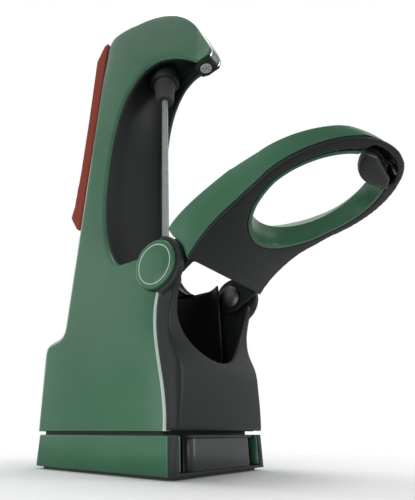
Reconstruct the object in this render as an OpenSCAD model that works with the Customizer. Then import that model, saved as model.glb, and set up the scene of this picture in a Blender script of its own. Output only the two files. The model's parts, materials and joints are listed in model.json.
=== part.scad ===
// Electric cider pourer: a swan-neck body on a block base, with a hinged glass ring.
// Millimetres. Origin at the centre of the underside, +X to the front, +Z up.

/* [Base] */
// Length of the base block, front to back
base_l = 123; // [119:0.5:128]
// Width of the base block and of the lower body
base_w = 92; // [91:0.5:98]
// Height of the top of the base block
base_h = 20.5; // [20.5:0.5:26]
// Thickness of the non-slip foot mat
mat_t = 1.5; // [1:0.1:3]
// Dark gap between base block and body
shadow_gap = 2; // [1:0.1:4]
// Width of the battery drawer
drawer_w = 63; // [62:0.5:65]
// Travel of the battery drawer
drawer_travel = 60; // [40:1:60]
// Depth of the finger grooves beside the drawer
groove_d = 6; // [4:0.1:8]

/* [Body] */
// Wall of the moulded covers
wall = 2.4; // [1.8:0.1:3]
// Rear of the lower housing at its foot
housing_back = -65.5; // [-68:0.5:-63]
// How far the housing leans back at its top
housing_lean = 4; // [0:0.5:5]
// Height of the ledge on top of the lower housing
ledge_z = 84; // [78:0.5:90]
// Rear of the column just above the ledge
column_back = -47; // [-50:0.5:-45]
// How far the column leans forward up to the crown
column_lean = 12; // [8:0.5:14]
// Height of the crown at its rear corner
crown_z = 421; // [410:0.5:435]
// Half width of the column at the crown
crown_half = 38; // [36:0.5:40]
// Height of the sill of the side window
sill_z = 129; // [127:0.5:133]
// Height of the top of the arch over the bottle mouth
arch_z = 347; // [340:0.5:352]
// Largest radius of the outer edges
edge_r = 6; // [3:0.5:7]

/* [Head] */
// Front of the nose
nose_x = 81; // [78:0.5:84]
// Height of the underside of the nose
nose_z = 329; // [324:0.5:334]
// Half width of the nose
nose_half = 9; // [8:0.25:10]
// Thickness of the nose cap
cap_t = 2; // [1.5:0.1:2.4]
// Radius of the aerator disc
aerator_r = 5.2; // [4:0.1:6]
// Radius of the aerator's holes
aerator_hole_r = 0.75; // [0.5:0.05:0.9]

/* [Bottle bay] */
// Distance of the bottle axis in front of the origin
bay_x = 17.5; // [16:0.25:18]
// Radius of the cup for the bottle
bay_r = 40.2; // [39:0.1:40.5]
// Wall of the cup
cup_wall = 2; // [1.4:0.1:2.2]
// Height of the seat under the bottle
seat_z = 48; // [46:0.5:52]
// Height of the bottle mouth
mouth_z = 343; // [336:0.5:344]
// Outer radius of the dip tube
dip_r = 3; // [2:0.1:3.5]

/* [Front shell] */
// Front of the apron
front_x = 63.5; // [62.5:0.25:65]
// Waist of the posts under the ears
waist_x = 58.5; // [57.5:0.25:60]
// How far the apron bulges in front of its foot
belly = 2; // [1:0.25:3]
// Radius of the front window
window_r = 39.5; // [37:0.5:40]
// Height of the lower edge of the front window
window_z = 62; // [58:0.5:66]
// Radius of the ears
ear_r = 20; // [18:0.5:22]
// Outer face of the ears, from the middle
ear_y = 48.6; // [48.2:0.1:51]

/* [Ring] */
// Distance of the hinge in front of the origin
hinge_x = 51; // [50:0.25:52]
// Height of the hinge
hinge_z = 117.5; // [116.5:0.25:118.5]
// Radius of the hinge pins
pin_r = 4; // [3:0.1:5]
// Radius of the hinge caps
hinge_cap_r = 16.4; // [14:0.2:17]
// Thickness of the hinge caps
hinge_cap_t = 2.6; // [2:0.1:3.5]
// Centre of the ring's hole
ring_x = 140; // [138:0.5:142]
// Radius of the ring's hole
hole_r = 39.5; // [37:0.5:40]
// Outer radius of the ring
ring_r = 49.5; // [48.5:0.25:51]
// Half width of the ring's root
root_half = 44.5; // [44:0.1:45]
// Height of the top of the ring
ring_top_z = 166.5; // [164:0.5:170]
// Wall of the ring's cover
ring_wall = 2.2; // [1.6:0.1:2.6]
// Travel of the press pad
pad_travel = 2.5; // [2:0.1:2.6]

/* [Fits] */
// Gap between pieces of one body that sit side by side
seat_gap = 0.3; // [0.2:0.05:0.4]
// Gap round pieces that move past others
run_gap = 0.5; // [0.4:0.05:0.8]
// Radial clearance of the hinge pins
pin_gap = 0.05; // [0.02:0.01:0.08]
// Half of the seam between left and right cover
seam_half = 0.1; // [0.05:0.01:0.2]

/* [Hidden] */
$fn = 64;

green = "#3f6b52";
black = "#2c2f2e";
grey = "#55585a";
terracotta = "#96503f";

body_z = base_h + shadow_gap;
base_half = base_w / 2;
front_end = base_l / 2;

// Curves and lofts

function bez(p, t) = pow(1 - t, 3) * p[0] + 3 * t * pow(1 - t, 2) * p[1]
  + 3 * t * t * (1 - t) * p[2] + pow(t, 3) * p[3];
function curve(p, n) = [for (i = [0:n - 1]) bez(p, i / n)];
function segment(a, b, n) = [for (i = [0:n - 1]) a + (b - a) * i / n];
function unit(v) = v / norm(v);
function inward(v) = [v[1], -v[0]];
function smooth(u) = let (c = min(1, max(0, u))) c * c * (3 - 2 * c);
function to3(p, y) = [p[0], y, p[1]];

// Offset direction of a profile at one of its points, mitred
function miter(line, i) = let (
    last = len(line) - 1,
    before = inward(unit(line[max(i, 1)] - line[max(i, 1) - 1])),
    after = inward(unit(line[min(i, last - 1) + 1] - line[min(i, last - 1)])))
  (before + after) / (1 + before * after);

// Closed skin over rings of points, with flat ends
module skin(rings) {
  n = len(rings[0]);
  m = len(rings);
  polyhedron(
    points = [for (ring = rings) each ring],
    faces = concat(
      [for (i = [0:m - 2], j = [0:n - 1], k = [0, 1])
        let (a = i * n + j, b = i * n + (j + 1) % n)
          k == 0 ? [a, b, b + n] : [a, b + n, a + n]],
      [[for (j = [n - 1:-1:0]) j]],
      [[for (j = [0:n - 1]) (m - 1) * n + j]]));
}

// Thin wall between two grids of points
module thin_wall(outer, inner) {
  m = len(outer);
  n = len(outer[0]);
  shift = m * n;
  polyhedron(
    points = concat([for (row = outer) each row], [for (row = inner) each row]),
    faces = concat(
      [for (i = [0:m - 2], j = [0:n - 2], k = [0:3])
        let (a = i * n + j)
          k == 0 ? [a, a + 1, a + n + 1] : k == 1 ? [a, a + n + 1, a + n]
          : k == 2 ? [shift + a, shift + a + n + 1, shift + a + 1]
          : [shift + a, shift + a + n, shift + a + n + 1]],
      [for (i = [0:m - 2], k = [0:3])
        let (a = i * n, b = i * n + n - 1)
          k == 0 ? [a, a + n, shift + a + n] : k == 1 ? [a, shift + a + n, shift + a]
          : k == 2 ? [b, shift + b + n, b + n] : [b, shift + b, shift + b + n]],
      [for (j = [0:n - 2], k = [0:3])
        let (a = j, b = (m - 1) * n + j)
          k == 0 ? [a, shift + a + 1, a + 1] : k == 1 ? [a, shift + a, shift + a + 1]
          : k == 2 ? [b, b + 1, shift + b + 1] : [b, shift + b + 1, shift + b]]));
}

// Round tube along a route
module sweep(route, r, sides = 10) {
  last = len(route) - 1;
  skin([for (i = [0:last])
    let (d = unit(route[min(i + 1, last)] - route[max(i - 1, 0)]),
      u = unit(cross(d, [0.1, 1, 0.05])), v = cross(d, u))
      [for (k = [0:sides - 1]) route[i] + r * (cos(360 * k / sides) * u - sin(360 * k / sides) * v)]]);
}

// Smooth route through points
function spline(p, n) = let (last = len(p) - 1) concat(
  [for (i = [0:last - 1], k = [0:n - 1])
    let (t = k / n, a = p[max(i - 1, 0)], b = p[i], c = p[i + 1], d = p[min(i + 2, last)])
      0.5 * (2 * b + t * (c - a) + t * t * (2 * a - 5 * b + 4 * c - d) + t * t * t * (3 * b - a - 3 * c + d))],
  [p[last]]);

module along_y(y0, y1) {
  translate([0, y1, 0]) rotate([90, 0, 0]) linear_extrude(y1 - y0) children();
}

module both_sides() {
  children();
  mirror([0, 1, 0]) children();
}

module rounded_plan(x0, x1, half, r) {
  translate([x0 + r, -half]) square([x1 - x0 - 2 * r, 2 * half]);
  translate([x0, -half + r]) square([x1 - x0, 2 * half - 2 * r]);
  for (x = [x0 + r, x1 - r], y = [-half + r, half - r]) translate([x, y]) circle(r);
}

// Side profile of the covers: outer line from the foot round the crown to the nose,
// and the edge of the parting and the window, station by station

housing_top = [housing_back - housing_lean, ledge_z];
column_foot = [column_back, ledge_z + 4];
crown_corner = [column_back + column_lean, crown_z];
apex = [nose_x - 15, nose_z + 0.565 * (crown_z - nose_z)];
front_rise = apex[1] - nose_z;
crown_curve = [crown_corner, crown_corner + [45, 6], [apex[0] - 15, crown_z + 3], apex];
front_curve = [apex, apex + [6, -front_rise / 4], [nose_x - 1, nose_z + 0.35 * front_rise],
  [nose_x, nose_z + 5]];
nose_foot = [nose_x - 3.5, nose_z];
parting_foot = [front_x - 8, body_z];
parting_waist = [front_x - 15.5, ledge_z];
parting_head = [hinge_x + 3, hinge_z - 10.5];
parting_low = [parting_foot, parting_foot + [1.5, 22], parting_waist - [0, 22], parting_waist];
parting_high = [parting_waist, parting_waist + [0, 12], parting_head - [4, 5], parting_head];
under_cap = [hinge_x - 8.5, hinge_z - 5];
sill_front = [hinge_x - 17, sill_z - 0.5];
sill_back = [bay_x - 3.5, sill_z];
window_back = [-14, sill_z + 93];
arch_top = [bay_x + 10.5, arch_z];
arch_end = [nose_x - 17, nose_z];
window_low = [sill_back, sill_back + [-20, 9], window_back - [0, 42], window_back];
window_high = [window_back, window_back + [0, 68], arch_top - [32, 7], arch_top];
arch_front = [arch_top, arch_top + [18, 0], arch_end + [-8, 9], arch_end];

n_housing = 4;
n_ledge = 2;
n_shoulder = 2;
n_under_cap = 2;
n_sill = 2;
n_window = 6;
n_arch = 7;
n_crown = 6;
n_front = 4;
column_rise = (crown_corner - column_foot) / (crown_z - column_foot[1]);
column_at_sill = column_foot + column_rise * (sill_z - column_foot[1]);
column_at_window = column_foot + (crown_corner - column_foot) * 0.38;

outer_line = concat(
  segment([housing_back, body_z], housing_top, n_housing),
  segment(housing_top, column_foot, n_ledge),
  segment(column_foot, column_at_sill, n_shoulder + n_under_cap + n_sill),
  segment(column_at_sill, column_at_window, n_window),
  segment(column_at_window, crown_corner, n_arch),
  curve(crown_curve, n_crown),
  curve(front_curve, n_front),
  [[nose_x, nose_z + 5], nose_foot]);
edge_line = concat(
  curve(parting_low, n_housing + 1),
  curve(parting_high, n_ledge + n_shoulder - 1),
  [parting_head, under_cap],
  segment(sill_front, sill_back, n_sill),
  curve(window_low, n_window),
  curve(window_high, n_arch),
  curve(arch_front, n_crown + n_front + 1),
  [arch_end]);
first_window = n_housing + n_ledge + n_shoulder + n_under_cap + n_sill;
first_crown = first_window + n_window + n_arch;
cap_start = first_crown + n_crown - 2;
last_station = len(outer_line) - 1;

// Half width of the covers at a point of the side profile
taper_start = -40;
function half_width(p) = let (
    u = min(1, max(0, (p[0] - taper_start) / (apex[0] - taper_start))),
    column = base_half - (base_half - crown_half) * min(1, max(0, (p[1] - ledge_z) / (crown_z - ledge_z))))
  column - smooth((p[1] - sill_z) / (arch_z - sill_z)) * (crown_half - nose_half + 2) * pow(u, 1.5);
function wall_dir(i) = i == last_station ? [-1, 0] : miter(outer_line, i);
function rounding(w) = min(edge_r, max(1.2, 0.2 * (w - 5)));

// One section of a cover: rear or top wall, rounded edge, side wall up to the window
arc_steps = 3;
side_steps = 2;
step_w = 0.6;
function cover_row(i, t) = let (
    o = outer_line[i], e = edge_line[i], m = wall_dir(i),
    inset = i > cap_start ? cap_t + seat_gap : 0,
    w = half_width(o), r = rounding(w),
    turn = o + r * m)
  concat(
    [to3(o + (inset + t) * m, seam_half), to3(o + (inset + t) * m, w - r - step_w - (inset > 0 ? t : 0))],
    [for (k = [0:arc_steps])
      let (a = 90 * k / arc_steps, p = o + (t + (r - t) * (1 - cos(a))) * m)
        to3(p, w - r + (r - t) * sin(a) + (half_width(p) - w) * sin(a))],
    [for (k = [1:side_steps])
      let (p = turn + (e - turn) * k / side_steps) to3(p, half_width(p) - t)]);

module cover() {
  thin_wall([for (i = [0:last_station]) cover_row(i, 0)], [for (i = [0:last_station]) cover_row(i, wall)]);
}

module left_cover() color(green) mirror([0, 1, 0]) cover();
module right_cover() color(green) cover();

// Bay liner: a trough behind the bottle that runs up into the arch under the head

bay_back = bay_x - bay_r - 2.5;
liner_t = 1.8;
liner_last = last_station - 2;
liner_ends = [12, 6, 2.5];
liner_steps = 10;
function liner_depth(i) = let (e = edge_line[i], o = outer_line[i], reach = norm(o - e))
  i < first_window + n_window ? max(7, e[0] - bay_back)
  : min(liner_ends[max(0, i - liner_last + 2)], max(7, e[0] - bay_back), 0.4 * reach);
function liner_row(i, t) = let (
    e = edge_line[i], d = unit(outer_line[i] - e), reach = liner_depth(i),
    half = half_width(e) - wall - seat_gap * (i > liner_last - 4 ? 2 : 1))
  [for (k = [0:liner_steps])
    let (a = 180 * k / liner_steps) to3(e + d * (reach + t) * sin(a), -(half - liner_t + t) * cos(a))];

socket_r = 15;
module bay_liner() color(black) difference() {
  thin_wall(
    [for (i = [first_window:liner_last]) liner_row(i, liner_t)],
    [for (i = [first_window:liner_last]) liner_row(i, 0)]);
  translate([bay_x, 0, mouth_z - 12]) cylinder(r = socket_r + seat_gap, h = 60);
}

// Base

tray_floor = 1.5;
plinth_in = 3;
tunnel_half = drawer_w / 2 + run_gap;
cell_r = 7.15;
cell_l = 49.2;
cell_room = 11.8;
panel_t = 5;
tunnel_back = front_end - panel_t - cell_l - cell_room;
drawer_floor = mat_t + tray_floor + seat_gap;
tunnel_top = drawer_floor + 1 + 2 * cell_r + run_gap;
screw_r = 1.5;
screw_head_r = 3.1;
screw_head_h = 2.2;
screw_spots = [for (x = [-front_end + 12, front_end - 20], y = [-1, 1]) [x, y * (base_half - 7.5)]];

module foot_mat() color("#1d1f1f") linear_extrude(mat_t)
  rounded_plan(-front_end + plinth_in, front_end - plinth_in, base_half - plinth_in, 5);

// The skirt stops behind the black corner posts and turns in beside the finger grooves
post_l = 4;
post_t = 4.4;
return_t = 1.5;
web_t = 1.2;
skirt_end = front_end - post_l;
return_out = base_half - post_t - seat_gap;
groove_in = tunnel_half + web_t;
groove_out = return_out - return_t;
groove_back = front_end - groove_d;
module base_skirt() color(green) {
  translate([0, 0, mat_t]) difference() {
    linear_extrude(base_h - mat_t) rounded_plan(-front_end, front_end + 5, base_half, 3);
    translate([0, 0, -1]) linear_extrude(base_h + 2)
      rounded_plan(-front_end + wall, front_end + 10, base_half - wall, 2);
    translate([skirt_end, -base_half - 1, -1]) cube([20, base_w + 2, base_h + 2]);
  }
  both_sides() translate([groove_back + seat_gap, 0, mat_t + tray_floor + seat_gap])
    linear_extrude(base_h - mat_t - tray_floor - seat_gap) {
      translate([0, groove_out]) square([groove_d - 2 * seat_gap, return_t]);
      translate([0, groove_out]) square([groove_d - seat_gap - post_l, base_half - groove_out - wall / 2]);
    }
}

tray_half = base_half - wall - seat_gap;
module base_tray() color(black) difference() {
  union() {
    translate([0, 0, mat_t]) linear_extrude(base_h - mat_t) difference() {
      rounded_plan(-front_end + wall + seat_gap, front_end, tray_half, 2);
      for (k = [-1, 1]) {
        translate([groove_back, k > 0 ? groove_in : -tray_half - 1])
          square([groove_d + 1, tray_half + 1 - groove_in]);
        translate([groove_back, k * (groove_in + groove_out) / 2]) circle((groove_out - groove_in) / 2);
      }
    }
    translate([0, 0, mat_t]) linear_extrude(tray_floor)
      rounded_plan(-front_end + wall + seat_gap, front_end, tray_half, 2);
    both_sides() translate([skirt_end + seat_gap, base_half - post_t, mat_t])
      cube([post_l - seat_gap, post_t, base_h - mat_t]);
    translate([0, 0, base_h - 1]) linear_extrude(shadow_gap + 1)
      rounded_plan(-front_end + plinth_in, front_end - plinth_in - groove_d, base_half - plinth_in, 2);
  }
  translate([tunnel_back, -tunnel_half, mat_t + tray_floor])
    cube([base_l, 2 * tunnel_half, tunnel_top - mat_t - tray_floor]);
  translate([front_end - post_l, -groove_in - 1, mat_t + tray_floor])
    cube([base_l, 2 * groove_in + 2, tunnel_top - mat_t - tray_floor]);
  for (s = screw_spots) translate([s[0], s[1], 0]) {
    cylinder(r = screw_r + seat_gap, h = body_z + 1);
    cylinder(r = screw_head_r + seat_gap, h = mat_t + screw_head_h + seat_gap);
  }
  both_sides() translate([tunnel_back - 8, 14, pin_z]) rotate([0, 90, 0])
    cylinder(r = contact_r + seat_gap, h = 9);
}

contact_r = 1.4;
pin_z = drawer_floor + 1 + cell_r;
module supply_pins() color("#c9a24a") both_sides()
  translate([tunnel_back - 7.8, 14, pin_z]) rotate([0, 90, 0]) cylinder(r = contact_r, h = 7.8 + seat_gap);

floor_t = 4;
module body_floor() color(black) translate([0, 0, body_z]) difference() {
  linear_extrude(floor_t)
    rounded_plan(housing_back + wall + 1, parting_foot[0] - 1, base_half - wall - seat_gap, 5);
  for (s = screw_spots) translate([s[0], s[1], -1]) cylinder(r = screw_r + 0.1, h = floor_t);
}

module case_screws() color("#b9bcc0") for (s = screw_spots) translate([s[0], s[1], mat_t]) {
  cylinder(r = screw_head_r, h = screw_head_h);
  cylinder(r = screw_r, h = body_z + floor_t - 1.5 - mat_t);
}

// Battery drawer

drawer_x0 = tunnel_back + seat_gap + 0.4;
drawer_wall = 1.5;
panel_r = 4;
module battery_drawer() color("#262929") {
  translate([0, 0, drawer_floor]) linear_extrude(tunnel_top - drawer_floor - seat_gap) difference() {
    rounded_plan(front_end - 3 * panel_t, front_end, drawer_w / 2, panel_r);
    translate([front_end - 4 * panel_t, -drawer_w]) square([3 * panel_t, 2 * drawer_w]);
  }
  translate([drawer_x0, -drawer_w / 2, drawer_floor]) difference() {
    cube([front_end - panel_t / 2 - drawer_x0, drawer_w, 12]);
    translate([drawer_wall, drawer_wall, 1])
      cube([front_end - panel_t - drawer_x0 - drawer_wall, drawer_w - 2 * drawer_wall, 12]);
    both_sides_at(drawer_w / 2) translate([-1, 14, 1 + cell_r]) rotate([0, 90, 0])
      cylinder(r = contact_r + seat_gap, h = drawer_wall + 2);
  }
}

// The same cut on both sides of a middle line at y
module both_sides_at(y) {
  translate([0, y, 0]) both_sides() children();
}

cell_x = drawer_x0 + drawer_wall + 2.2;
cell_pitch = 2 * cell_r + 0.4;
module battery_cells() color("#5b5f66") for (k = [0:3])
  translate([cell_x, (k - 1.5) * cell_pitch, drawer_floor + 1 + cell_r]) rotate([0, 90, 0]) {
    cylinder(r = cell_r - 0.05, h = cell_l);
    translate([0, 0, cell_l - 1]) cylinder(r = 2.6, h = 2.2);
  }

module battery_contacts() color("#c9a24a") {
  for (k = [-1, 1]) {
    translate([drawer_x0 + drawer_wall + 0.2, k * cell_pitch - cell_pitch + 1, drawer_floor + 1.2])
      cube([0.8, 2 * cell_pitch - 2, 11]);
    translate([cell_x + cell_l + 1.5, k * cell_pitch - cell_pitch + 1, drawer_floor + 1.2])
      cube([0.6, 2 * cell_pitch - 2, 11]);
    translate([drawer_x0 - 0.1, k * 14, pin_z]) rotate([0, 90, 0])
      cylinder(r = contact_r, h = drawer_wall + 0.2);
  }
}

// Bottle cup and pad

cup_r = bay_r + cup_wall;
pad_t = 2;
cup_floor_t = 2;
cup_top = sill_z - 2;
module bottle_cup() color(black) difference() {
  translate([bay_x, 0, 0]) rotate_extrude() {
    translate([bay_r, body_z + floor_t]) square([cup_wall, cup_top - body_z - floor_t]);
    translate([0, seat_z - pad_t - cup_floor_t]) square([bay_r + 1, cup_floor_t]);
  }
  translate([bay_x + 28, -cup_r - 1, window_z - 1]) cube([cup_r, 2 * cup_r + 2, cup_top]);
  translate([bay_x + bay_r - 0.8, -cup_r, 0]) cube([cup_r, 2 * cup_r, cup_top]);
}

module bottle_pad() color("#1d1f1f") translate([bay_x, 0, seat_z - pad_t]) difference() {
  cylinder(r = bay_r - 2, h = pad_t);
  for (k = [1:3]) translate([0, 0, pad_t - 0.5]) difference() {
    cylinder(r = 9 * k + 1, h = 1);
    cylinder(r = 9 * k, h = 1);
  }
}

// Front shell: apron, posts and ears

shell_t = 2.6;
shell_half = base_half;
corner_r = 5;
part_gap = 0.4;
post_head = [hinge_x + 14, hinge_z - 12];
waist = [waist_x, ledge_z - 4];
apron_top = [front_x + belly, seat_z + 3];
post_line = [post_head, [waist_x + 1, hinge_z - 25], waist + [0, 5], waist];
apron_line = [waist, waist - [0, 12], apron_top + [0, 12], apron_top];
apron_foot = [front_x, body_z];
foot_line = [apron_top, apron_top - [0, 10], apron_foot + [belly / 2, 9], apron_foot];
parting_line = concat(curve(parting_low, 7), curve(parting_high, 4), [parting_head]);
function moved(line, d) = [for (p = line) p + d];

module shell_side(inset) polygon(concat(
  moved(parting_line, [part_gap - 20 * min(1, inset), 0]),
  [post_head + [-inset, 8]],
  moved(concat(curve(post_line, 10), curve(apron_line, 12), curve(foot_line, 6), [apron_foot]),
    [-inset, 0])));

module shell_plan(inset) translate([0, 0, body_z - 1]) linear_extrude(ear_r + hinge_z)
  rounded_plan(-corner_r, front_x + belly - inset, shell_half - inset, corner_r - inset);

module shell_solid(inset) intersection() {
  along_y(-shell_half, shell_half) shell_side(inset);
  shell_plan(inset);
}

ear_in = shell_half - shell_t;
cover_zone = concat([[hinge_x - 40, ledge_z - 10]],
  moved(concat(curve(parting_high, 4), [parting_head]), [part_gap, 0]),
  [under_cap + [part_gap, part_gap], sill_front + [part_gap, part_gap + 0.6],
    sill_front + [-30, part_gap + 0.6]]);
module ear() difference() {
  translate([hinge_x, ear_in, hinge_z]) rotate([-90, 0, 0]) {
    cylinder(r = hinge_cap_r + 0.8, h = ear_y - ear_in);
    intersection() {
      cylinder(r = ear_r, h = ear_y - ear_in);
      translate([3, -ear_r, -1]) cube([ear_r, 2 * ear_r, ear_y]);
    }
  }
  along_y(ear_in - 5, shell_half + seat_gap) polygon(cover_zone);
  translate([hinge_x, 0, hinge_z]) rotate([-90, 0, 0]) cylinder(r = bush_r + 0.02, h = 100);
}

module front_window() along_y_to_x() {
  translate([0, window_z + window_r]) circle(window_r);
  translate([-window_r, window_z + window_r]) square([2 * window_r, 200]);
}

module along_y_to_x() translate([0, 0, 0]) rotate([90, 0, 90]) linear_extrude(200) children();

module front_shell() color(black) union() {
  difference() {
    shell_solid(0);
    shell_solid(shell_t);
    front_window();
    both_sides() translate([hinge_x, 0, hinge_z]) rotate([-90, 0, 0]) cylinder(r = ear_r - 4, h = 100);
  }
  both_sides() ear();
}

// Hinge hardware

bush_r = 6;
bush_flange = 1;
module bush() difference() {
  translate([hinge_x, ear_in, hinge_z]) rotate([-90, 0, 0]) cylinder(r = bush_r, h = ear_y - ear_in);
  translate([hinge_x, 0, hinge_z]) rotate([-90, 0, 0]) cylinder(r = pin_r + pin_gap, h = 100);
}
module left_hinge_bush() color("#8d7a55") mirror([0, 1, 0]) bush();
module right_hinge_bush() color("#8d7a55") bush();

lug_in = 38.2;
lug_out = half_width([hinge_x, hinge_z]) - wall - run_gap;
pin_head_r = 9;
pin_head_t = 3;
module pin() translate([hinge_x, lug_in, hinge_z]) rotate([-90, 0, 0]) rotate_extrude()
  polygon([[0, -seat_gap - pin_head_t], [pin_head_r - 3, -seat_gap - pin_head_t], [pin_head_r, -seat_gap - 1.6],
    [pin_head_r, -seat_gap], [pin_r, -seat_gap],
    [pin_r, ear_y - lug_in - run_gap], [0, ear_y - lug_in - run_gap]]);
module left_hinge_pin() color("#b9bcc0") mirror([0, 1, 0]) pin();
module right_hinge_pin() color("#b9bcc0") pin();

module hinge_cap() translate([hinge_x, ear_y, hinge_z]) rotate([-90, 0, 0]) rotate_extrude()
  polygon([[0, 0], [hinge_cap_r, 0], [hinge_cap_r, 1.4], [hinge_cap_r - 0.8, 2.2], [hinge_cap_r - 2.4, 2.3],
    [hinge_cap_r - 2.8, 1.8], [hinge_cap_r - 3.6, 1.8],
    [hinge_cap_r - 4, hinge_cap_t - 0.2], [0, hinge_cap_t]]);
module left_hinge_cap() color(green) mirror([0, 1, 0]) hinge_cap();
module right_hinge_cap() color(green) hinge_cap();

// Glass ring

root_low = [hinge_x + ear_r + 2.8, hinge_z - 1.2];
under_knee = [ring_x - 20, ring_top_z - 22.5];
under_front = [ring_x + ring_r + 2, ring_top_z - 8.3];
root_top = [hinge_x + 7, hinge_z + 25];
top_knee = [ring_x - 27, ring_top_z];
under_line = concat(curve([root_low, root_low + [12, 14], under_knee - [16, 4.5], under_knee], 8),
  [under_knee, [ring_x - 8.4, ring_top_z - 18.5], [ring_x + 2, ring_top_z - 16.3],
    [ring_x + 43, ring_top_z - 8.5], under_front]);
top_line = concat(curve([root_top, root_top + [9, 10], top_knee - [24, 6.5], top_knee], 8),
  [top_knee, [ring_x - 8, ring_top_z - 0.3], [ring_x + 2, ring_top_z + 0.4], [ring_x + 12, ring_top_z + 2],
    [ring_x + 24, ring_top_z + 3.5], [ring_x + ring_r + 2, ring_top_z + 4.5]]);
function reversed(line) = [for (i = [len(line) - 1:-1:0]) line[i]];

module ring_side(top_drop, under_lift) polygon(concat(
  moved(under_line, [0, under_lift]), reversed(moved(top_line, [0, -top_drop]))));

module ring_plan(inset, hole_inset) difference() {
  union() {
    translate([ring_x, 0]) circle(ring_r - inset);
    difference() {
      polygon([[hinge_x - 8, -root_half + inset], [ring_x - 30, -root_half - 1 + inset],
        [ring_x - 12, -ring_r + 1.5 + inset], [ring_x - 12, ring_r - 1.5 - inset],
        [ring_x - 30, root_half + 1 - inset], [hinge_x - 8, root_half - inset]]);
      translate([bay_x, 0]) circle(cup_r + 1 + inset);
    }
  }
  translate([ring_x - 0.5, 0]) circle(hole_r + hole_inset);
}

module ring_solid(inset, top_drop, under_lift) intersection() {
  translate([0, 0, hinge_z - 20]) linear_extrude(100) ring_plan(inset, inset);
  along_y(-ring_r - 1, ring_r + 1) ring_side(top_drop, under_lift);
}

module ear_clearance() both_sides() translate([hinge_x, ear_in - run_gap, hinge_z]) rotate([-90, 0, 0])
  cylinder(r = ear_r + 1, h = 30);

// Pocket for the press pad in the front of the ring
pad_half = 21.5;
pad_bulge = 12.5;
pad_front = ring_x + hole_r;
pad_low = under_front[1] - 4.6;
pad_high = under_front[1] + 2.6;
pocket_r = ring_r - ring_wall - 1.7;
pocket_front = ring_x + pocket_r;
pad_back_r = pocket_r - pad_travel - 1.5;
module pad_pocket() intersection() {
  translate([ring_x + hole_r - 20, -pad_half - run_gap, pad_low - run_gap])
    cube([40, 2 * pad_half + 2 * run_gap, pad_high - pad_low + 2 * run_gap]);
  translate([ring_x, 0, pad_low - 5]) cylinder(r = pocket_r, h = 40);
}

// Layer along the underside of the ring
module under_layer(low, high) along_y(-ring_r - 1, ring_r + 1)
  polygon(concat(moved(under_line, [0, low]), reversed(moved(under_line, [0, high]))));

// Top of the ring: a dish behind the hole, where the glass leans in, a crowned top and a front that slopes down
rim_z = ring_top_z - 4.1;
rim_slope = 16;
edge_z = under_front[1] + 0.6;
module dish() translate([ring_x - 0.5, 0, rim_z]) rotate([0, -rim_slope, 0])
  translate([0, 0, -5]) cylinder(r1 = hole_r - 5, r2 = hole_r + 16, h = 21);
module above_crown() translate([ring_x, 0, ring_top_z - 1]) rotate_extrude()
  polygon([[ring_r - 22, 11], [ring_r, 0], [ring_r + 35, -3.5], [ring_r + 35, 30], [ring_r - 22, 30]]);
module above_slope(r) rotate_extrude()
  polygon([[r - 22, 11], [r - 10, 8.5], [r - 2.7, 3.8], [r, 0], [r + 6, -8.4], [r + 6, 30], [r - 22, 30]]);
module front_slope() translate([ring_x, 0, 0]) intersection() {
  translate([0, 0, edge_z]) above_slope(ring_r);
  translate([0, 0, ring_top_z + 7.8]) rotate([0, 20, 0]) above_slope(ring_r + 2);
}
module above_ring(drop) translate([0, 0, -drop]) {
  dish();
  above_crown();
  front_slope();
}

frame_t = 2;
module ring_cover() color(green) difference() {
  ring_solid(0, 0, 0);
  difference() {
    ring_solid(ring_wall, ring_wall, -20);
    above_ring(1.45 * ring_wall);
  }
  above_ring(0);
  intersection() {
    translate([0, 0, hinge_z - 20]) linear_extrude(100) ring_plan(-1, ring_wall);
    under_layer(-5, frame_t + seat_gap);
  }
  ear_clearance();
  pad_pocket();
}

module lug() along_y(lug_in, root_half - ring_wall - seat_gap) difference() {
  union() {
    translate([hinge_x, hinge_z]) circle(12);
    polygon([[hinge_x + 2, hinge_z + 11.8], [hinge_x + 26, hinge_z + 29], [hinge_x + 32, hinge_z + 9.1],
      root_low + [0.6, 1], [hinge_x + 6, hinge_z - 10.4]]);
  }
  translate([hinge_x, hinge_z]) circle(pin_r + 0.02);
}

frame_in = ring_wall + seat_gap;
root_step = -frame_t * inward(unit(root_low - root_top));
module ring_frame() color(black) difference() {
  union() {
    intersection() {
      translate([0, 0, hinge_z - 20]) linear_extrude(100) ring_plan(0, frame_in);
      under_layer(0, frame_t);
    }
    intersection() {
      ring_solid(frame_in, frame_in, 0);
      along_y(-root_half, root_half)
        polygon([root_low, root_low + root_step, root_top + root_step, root_top]);
    }
    both_sides() lug();
    both_sides() translate([hinge_x, lug_in, hinge_z]) rotate([-90, 0, 0]) difference() {
      cylinder(r = 8, h = lug_out - lug_in);
      translate([0, 0, -1]) cylinder(r = pin_r + 0.02, h = 20);
    }
  }
  pad_pocket();
  front_slope();
  ear_clearance();
}

// Press pad, its switch and spring

module press_pad() color("#2a2d2d") intersection() {
  translate([ring_x + hole_r - pad_bulge + 30, 0, pad_low]) cylinder(r = 30, h = pad_high - pad_low);
  translate([ring_x, -pad_half, pad_low]) cube([pad_front - ring_x, 2 * pad_half, pad_high - pad_low]);
  translate([ring_x, 0, pad_low]) cylinder(r = pad_back_r, h = pad_high - pad_low);
}

spring_r = 1.5;
wire_r = 0.3;
spring_turns = 3;
spring_len = pocket_front - pad_front - 2 * seat_gap;
spring_z = pad_high - spring_r - wire_r - seat_gap;
module pad_spring() color("#b9bcc0") sweep(
  [for (k = [0:8 * spring_turns])
    let (a = 45 * k)
      [pad_front + seat_gap + wire_r + (spring_len - 2 * wire_r) * k / (8 * spring_turns),
        spring_r * cos(a), spring_z + spring_r * sin(a)]],
  wire_r, 6);
echo(spring_gap = (spring_len - 2 * wire_r) / spring_turns - 2 * wire_r);

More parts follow.
